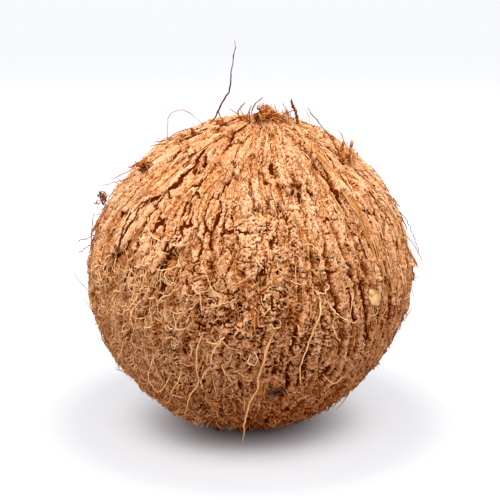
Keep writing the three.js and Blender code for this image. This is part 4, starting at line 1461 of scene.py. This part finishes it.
# Clumps of short threads: degrees round, height, lift, how far they spread sideways and
# upwards, number, reach and thickness in millimetres, tone, and the way they point.
CLUMPS = (
    (258, 120.2, 1.2, 2.8, 1.8, 30, 4.4, 0.5, 0.2, (0.7, 0.1, 0.5)),
    (275, 120.4, 0.8, 3.0, 1.6, 16, 3.4, 0.6, 0.1, (0.5, 0.0, 0.5)),
    (300, 120.6, 1.4, 3.2, 2.0, 30, 2.8, 0.5, 0.4, (0.2, 0.2, 0.8)),
    (80, 120.6, 1.2, 4.0, 2.0, 30, 4.0, 0.6, 0.44, (0.3, 0.1, 0.9)),
    (225, 119.8, 0.8, 2.0, 1.0, 8, 3.0, 0.5, 0.2, (0.8, 0.0, 0.6)),
    (20, 119.8, 0.8, 3.4, 1.4, 14, 2.6, 0.4, 0.4, (0.5, 0.1, 0.8)),
    (203, 103.1, 1.5, 3.0, 2.4, 46, 3.2, 0.5, 0.04, (0.6, -0.3, -0.7)),
    (180, 88.0, 2.2, 2.2, 3.4, 60, 2.0, 0.5, 0.2, (0.3, 0.0, 0.7)),
    (181, 85.4, 3.0, 1.2, 1.6, 7, 4.0, 0.28, 0.35, (-0.8, 0.0, -0.6)),
    (209, 117.9, 0.5, 2.6, 0.8, 20, 2.2, 0.5, 0.08, (0.7, 0.0, 0.4)),
    (341, 106.6, 1.2, 3.2, 2.8, 30, 2.8, 0.5, 0.7, (-0.4, 0.0, 0.9)),
    (243, 15.0, 1.4, 4.0, 5.0, 30, 4.0, 0.3, 0.7, (-0.1, -0.4, -0.7)),
    (238, 18.0, 1.2, 7.0, 4.0, 22, 5.0, 0.28, 0.7, (0.6, -0.4, 0.2)),
    (290, 101.8, 0.8, 5.0, 2.6, 30, 3.0, 0.4, 0.16, (0.6, -0.5, -0.5)),
)


def clump_routes(nut, rng, clump):
    """The routes of the threads of one clump: a loose ball, and a few rooted in the coat."""
    degrees, height, lift, broad, tall, count, reach, _, _, direction = clump
    centre = over(nut, degrees, height, lift)
    routes = []
    for index in range(count):
        start = centre + rng.normal(0, 0.32, 3) * (broad, broad, tall)
        way = np.array(direction) + rng.normal(0, 0.6, 3)
        way *= reach * rng.uniform(0.4, 1.1) / np.linalg.norm(way)
        bend = rng.normal(0, 0.16 * reach, 3)
        foot = start - 0.5 * way
        if index % 4 == 0 and lift < 2:
            angle = math.degrees(math.atan2(start[1], start[0]))
            foot = over(nut, angle, min(max(start[2], 3), nut.height - 1.5), -0.8)
        routes.append([foot, start + bend, start + 0.5 * way])
    return routes


def scattered_route(nut, index):
    """The route of one scattered strand or flake, and whether it is a flake."""
    height = SCATTER_LOWEST + (nut.height - SCATTER_TOP_GAP - SCATTER_LOWEST) * (
        (index + 0.5) / SCATTER_COUNT)
    root = float(nut.length_at(height))
    angle = GOLDEN_TURN * index + 0.3 * draw(index, 0, 6)
    is_flake = index % 3 == 0
    reach = between(*((8, 14) if is_flake else (9, 19)), draw(index, 1, 6))
    rise = between(*((1.6, 3.4) if is_flake else (1.8, 4.6)), draw(index, 2, 6))
    drift = (draw(index, 3, 6) - 0.5) * (0.3 if is_flake else 1.5)
    curl = (draw(index, 4, 6) - 0.5) * (0.2 if is_flake else 1.6)
    goes_up = not is_flake and draw(index, 5, 6) > 0.62
    steps = 3 if is_flake else 4
    route = []
    for step in range(steps + 1):
        share = step / steps
        heading = drift + curl * share
        run = root + (1 if goes_up else -1) * reach * share * math.cos(heading)
        length = min(max(run, 2), nut.length - 2)
        radius = max(float(nut.radius_at(length)), 6)
        turn = angle + reach * share * math.sin(heading) / radius
        lift = -ROOT_SUNK + (ROOT_SUNK + rise) * share ** 0.8
        point = nut.point(turn, length, lift)
        point[2] = max(point[2], 1.1)
        route.append(point)
    width = between(2.6, 4.6, draw(index, 6, 6)) if is_flake else 0
    return route, width


def tuft_route(nut, index):
    """The route of one strand end in the ragged ring round the stalk end."""
    angle = 2 * math.pi * (index + 0.6 * draw(index, 0, 7)) / TUFT_COUNT
    root = nut.length - 5 - 7 * draw(index, 1, 7)
    reach = (5 + 6 * draw(index, 2, 7)) * (1 if index % 2 else -0.35)
    lean = 0.3 * (draw(index, 3, 7) - 0.5)
    return [nut.point(angle + lean * share, root - reach * share,
                      -ROOT_SUNK + (ROOT_SUNK + 3.6) * share) for share in (0, 0.5, 1)]


def fray(rng, route, width, threads, rings):
    """The routes of the threads that a flake frays into: uneven, and splayed at the end."""
    centre = smooth_route(route, rings)
    along = np.gradient(centre, axis=0)
    side = np.cross(along, centre - np.array([0, 0, centre[:, 2].mean()]))
    side /= np.linalg.norm(side, axis=1, keepdims=True) + 1e-9
    share = np.linspace(0, 1, rings)[:, None]
    frayed = []
    for place in np.linspace(-0.5, 0.5, threads):
        offset = place * width * (1 - 0.25 * share) + rng.normal(0, 0.3 * width) * share ** 2
        line = centre + side * offset + rng.normal(0, 0.4, 3) * share
        line[1:] += rng.normal(0, 0.14, (rings - 1, 3))
        cut = rng.uniform(0.4, 1.0)
        steps = np.linspace(0, cut, rings) * (rings - 1)
        frayed.append(np.stack([np.interp(steps, np.arange(rings), line[:, axis])
                                for axis in range(3)], 1))
    return frayed


class COCONUT_OT_strands(bpy.types.Operator):
    """Adds the loose strands and torn flakes, where the solid has them and in between"""

    bl_idname = "coconut.strands"
    bl_label = "Strands and Flakes"

    def execute(self, context):
        sizes = context.scene.coconut_sizes
        nut = Nut(sizes)
        rng = np.random.default_rng(61)
        material = single_fibre(context.scene.coconut_colours, 0.2)
        self.add_long_strands(nut, rng, sizes, material)
        self.add_short_strands(nut, rng, sizes, material)
        return {"FINISHED"}

    def add_long_strands(self, nut, rng, sizes, material):
        """The strands that stand out, with knots along them."""
        strands = named_strands(nut)
        scale = sizes.strand_thickness / MILLIMETRE / 2
        routes = np.stack([smooth_route(route, LONG_RINGS) for route, *_ in strands])
        routes[:, 2:-1] += rng.normal(0, 0.14, routes[:, 2:-1].shape)
        widths = np.stack([taper(LONG_RINGS, root, tip) * scale for _, root, tip, _ in strands])
        widths *= rng.uniform(0.75, 1.25, widths.shape)
        tones = np.stack([np.full(LONG_RINGS, tone) for *_, tone in strands])
        tones += rng.normal(0, 0.07, tones.shape)
        make_threads(nut, "long_strands", thread_shape(6, LONG_RINGS), LONG_RINGS, routes,
                     1.1 * widths, 0.9 * widths, tones, material)

    def add_short_strands(self, nut, rng, sizes, material):
        """Scattered strands, and flakes that are frayed into threads."""
        scale = sizes.strand_thickness / MILLIMETRE / 2
        routes, radii, tones = [], [], []
        flakes = flake_routes(nut)
        for index in range(SCATTER_COUNT):
            route, width = scattered_route(nut, index)
            if width:
                flakes.append((route, 0.5 * width, rng.uniform(0.2, 0.5)))
            else:
                line = smooth_route(route, SHORT_RINGS)
                wander = np.cumsum(rng.normal(0, 0.4, (SHORT_RINGS - 1, 3)), 0)
                line[1:] += 0.5 * wander * (1, 1, 0.5)
                routes.append(line)
                radii.append(between(0.3, 0.5, rng.random()) * scale)
                tones.append(rng.choice([0.2, 0.45, 0.65]))
        for index in range(TUFT_COUNT):
            routes.append(smooth_route(tuft_route(nut, index), SHORT_RINGS))
            radii.append(0.5 * scale)
            tones.append(rng.choice([0.1, 0.3, 0.6]))
        for route, width, tone in flakes:
            threads = max(int(round(width / 0.4)), 3)
            for line in fray(rng, route, width, threads, SHORT_RINGS):
                routes.append(line)
                radii.append(rng.uniform(0.2, 0.36))
                tones.append(tone + rng.uniform(-0.2, 0.2))
        for clump in CLUMPS:
            for route in clump_routes(nut, rng, clump):
                routes.append(smooth_route(route, SHORT_RINGS))
                radii.append(clump[7] / 2 * rng.uniform(0.6, 1.2))
                tones.append(clump[8] + rng.uniform(-0.25, 0.3))
        widths = np.array(radii)[:, None] * taper(SHORT_RINGS, 1.0, 0.7, 0.15)[None]
        widths = widths * rng.uniform(0.85, 1.15, widths.shape)
        make_threads(nut, "short_strands", thread_shape(5, SHORT_RINGS), SHORT_RINGS,
                     np.stack(routes), widths, widths,
                     np.array(tones)[:, None] + np.zeros((1, SHORT_RINGS)), material)


# The stage

FLOOR_SIZE = 60.0
VIEW_ELEVATION = math.radians(15.0)
VIEW_DISTANCE = 0.5325
VIEW_AIM = (0.0008, 0.0, 0.0682)
VIEW_LIMIT = 50.0
LENS, SENSOR = 100.0, 36.0
SUN_TILT = math.radians(10)
SUN_SOFTNESS = math.radians(60)
SUN_STRENGTH = 2.6
SUN_COLOUR, ROOM_COLOUR = (1.0, 0.985, 0.96), (0.975, 0.985, 1.0)
# Brightness of the room: pairs of the sine of a height above the horizon and a strength.
ROOM_GLOW = ((0.0, 0.3), (0.35, 0.75), (0.62, 1.5), (0.74, 3.0), (0.88, 2.4), (1.0, 1.2))
# Whiteness of the paper under the nut, round it and far behind, a painted pool of light that is
# whitest under the nut, and how far each change of it reaches, in metres.
PAPER_PAINTED_LIGHT = (0.84, 0.54, 0.41)
PAPER_REACH = ((0.036, 0.07), (0.12, 1.2))


def seamless_paper(colours):
    """Matt white background paper, seamless and without a texture that shows. Its whiteness is
    painted light: whitest where the nut stands, so that the shadow there stays soft, and greyer
    further off."""
    material, tree, shader = dry_material("seamless paper", 0.9)
    shader.inputs["Specular IOR Level"].default_value = 0.1
    spot = add_node(tree, "ShaderNodeTexCoord").outputs["Object"]
    grain = add_node(tree, "ShaderNodeTexNoise", None, {"Vector": spot, "Scale": 900.0})
    relief = add_node(tree, "ShaderNodeBump", None, {
        "Strength": 0.05, "Distance": 0.0001, "Height": grain.outputs["Fac"]})
    tree.links.new(relief.outputs["Normal"], shader.inputs["Normal"])
    away = add_node(tree, "ShaderNodeVectorMath", {"operation": "LENGTH"}, {0: spot})
    white = [(*(level * c for c in colours.paper), 1.0) for level in PAPER_PAINTED_LIGHT]
    tint = white[0]
    for reach, level in zip(PAPER_REACH, white[1:]):
        share = showing(tree, away.outputs["Value"], *reach)
        tint = add_node(tree, "ShaderNodeMix", {"data_type": "RGBA"}, {
            "Factor": share, 6: tint, 7: level}).outputs[2]
    tree.links.new(tint, shader.inputs["Base Color"])
    return material


class COCONUT_OT_stage(bpy.types.Operator):
    """Sets the paper floor, the soft light from above and the camera"""

    bl_idname = "coconut.stage"
    bl_label = "Stage"

    def execute(self, context):
        scene = context.scene
        deselect_all()
        bpy.ops.mesh.primitive_plane_add(size=FLOOR_SIZE)
        floor = bpy.context.object
        floor.name = "paper_floor"
        floor.data.materials.append(seamless_paper(scene.coconut_colours))
        self.add_light(scene)
        self.add_camera(scene)
        scene.view_settings.view_transform = "Standard"
        return {"FINISHED"}

    def add_light(self, scene):
        """A broad soft light from above, and a white room that glows at its walls."""
        bpy.ops.object.light_add(type="SUN", rotation=(SUN_TILT, 0, 0))
        sun = bpy.context.object.data
        sun.energy = SUN_STRENGTH
        sun.angle = SUN_SOFTNESS
        sun.color = SUN_COLOUR
        world = bpy.data.worlds.new("white room")
        scene.world = world
        world.use_nodes = True
        tree = world.node_tree
        towards = add_node(tree, "ShaderNodeTexCoord").outputs["Generated"]
        height = add_node(tree, "ShaderNodeSeparateXYZ", None, {"Vector": towards})
        glow = add_node(tree, "ShaderNodeValToRGB", None, {"Fac": height.outputs["Z"]})
        brightest = max(level for _, level in ROOM_GLOW)
        set_ramp(glow, [(place, [level / brightest * c for c in ROOM_COLOUR])
                        for place, level in ROOM_GLOW])
        back = tree.nodes["Background"]
        tree.links.new(glow.outputs["Color"], back.inputs["Color"])
        back.inputs["Strength"].default_value = brightest

    def add_camera(self, scene):
        """The camera, in front of the nut and looking down at it a little."""
        aim = np.array(VIEW_AIM)
        back = np.array([0, -math.cos(VIEW_ELEVATION), math.sin(VIEW_ELEVATION)])
        bpy.ops.object.camera_add(location=aim + back * VIEW_DISTANCE,
                                  rotation=(math.pi / 2 - VIEW_ELEVATION, 0, 0))
        camera = bpy.context.object
        camera.data.lens = LENS
        camera.data.sensor_width = SENSOR
        camera.data.clip_end = VIEW_LIMIT
        scene.camera = camera


class COCONUT_PT_panel(bpy.types.Panel):
    """Lists the coconut's pieces, sizes and colours in the sidebar"""

    bl_idname = "COCONUT_PT_panel"
    bl_label = "Husked Coconut"
    bl_space_type = "VIEW_3D"
    bl_region_type = "UI"
    bl_category = "Coconut"

    def draw(self, context):
        layout = self.layout
        for group in (context.scene.coconut_sizes, context.scene.coconut_colours):
            for name in group.bl_rna.properties.keys():
                if name not in ("rna_type", "name"):
                    layout.prop(group, name)
        for operator in OPERATORS:
            layout.operator(operator.bl_idname)


OPERATORS = (COCONUT_OT_stage, COCONUT_OT_coat, COCONUT_OT_flakes,
             COCONUT_OT_fibres, COCONUT_OT_fuzz, COCONUT_OT_strands)
CLASSES = (CoconutSizes, CoconutColours, *OPERATORS, COCONUT_PT_panel)


def register():
    """Registers the classes and the settings that they read."""
    for cls in CLASSES:
        bpy.utils.register_class(cls)
    bpy.types.Scene.coconut_sizes = bpy.props.PointerProperty(type=CoconutSizes)
    bpy.types.Scene.coconut_colours = bpy.props.PointerProperty(type=CoconutColours)


def unregister():
    """Removes the settings and the classes."""
    del bpy.types.Scene.coconut_colours
    del bpy.types.Scene.coconut_sizes
    for cls in reversed(CLASSES):
        bpy.utils.unregister_class(cls)


def main():
    """Registers the add-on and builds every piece."""
    register()
    bpy.ops.coconut.stage()
    bpy.ops.coconut.coat()
    bpy.ops.coconut.flakes()
    bpy.ops.coconut.fibres()
    bpy.ops.coconut.fuzz()
    bpy.ops.coconut.strands()


if __name__ == "__main__":
    main()
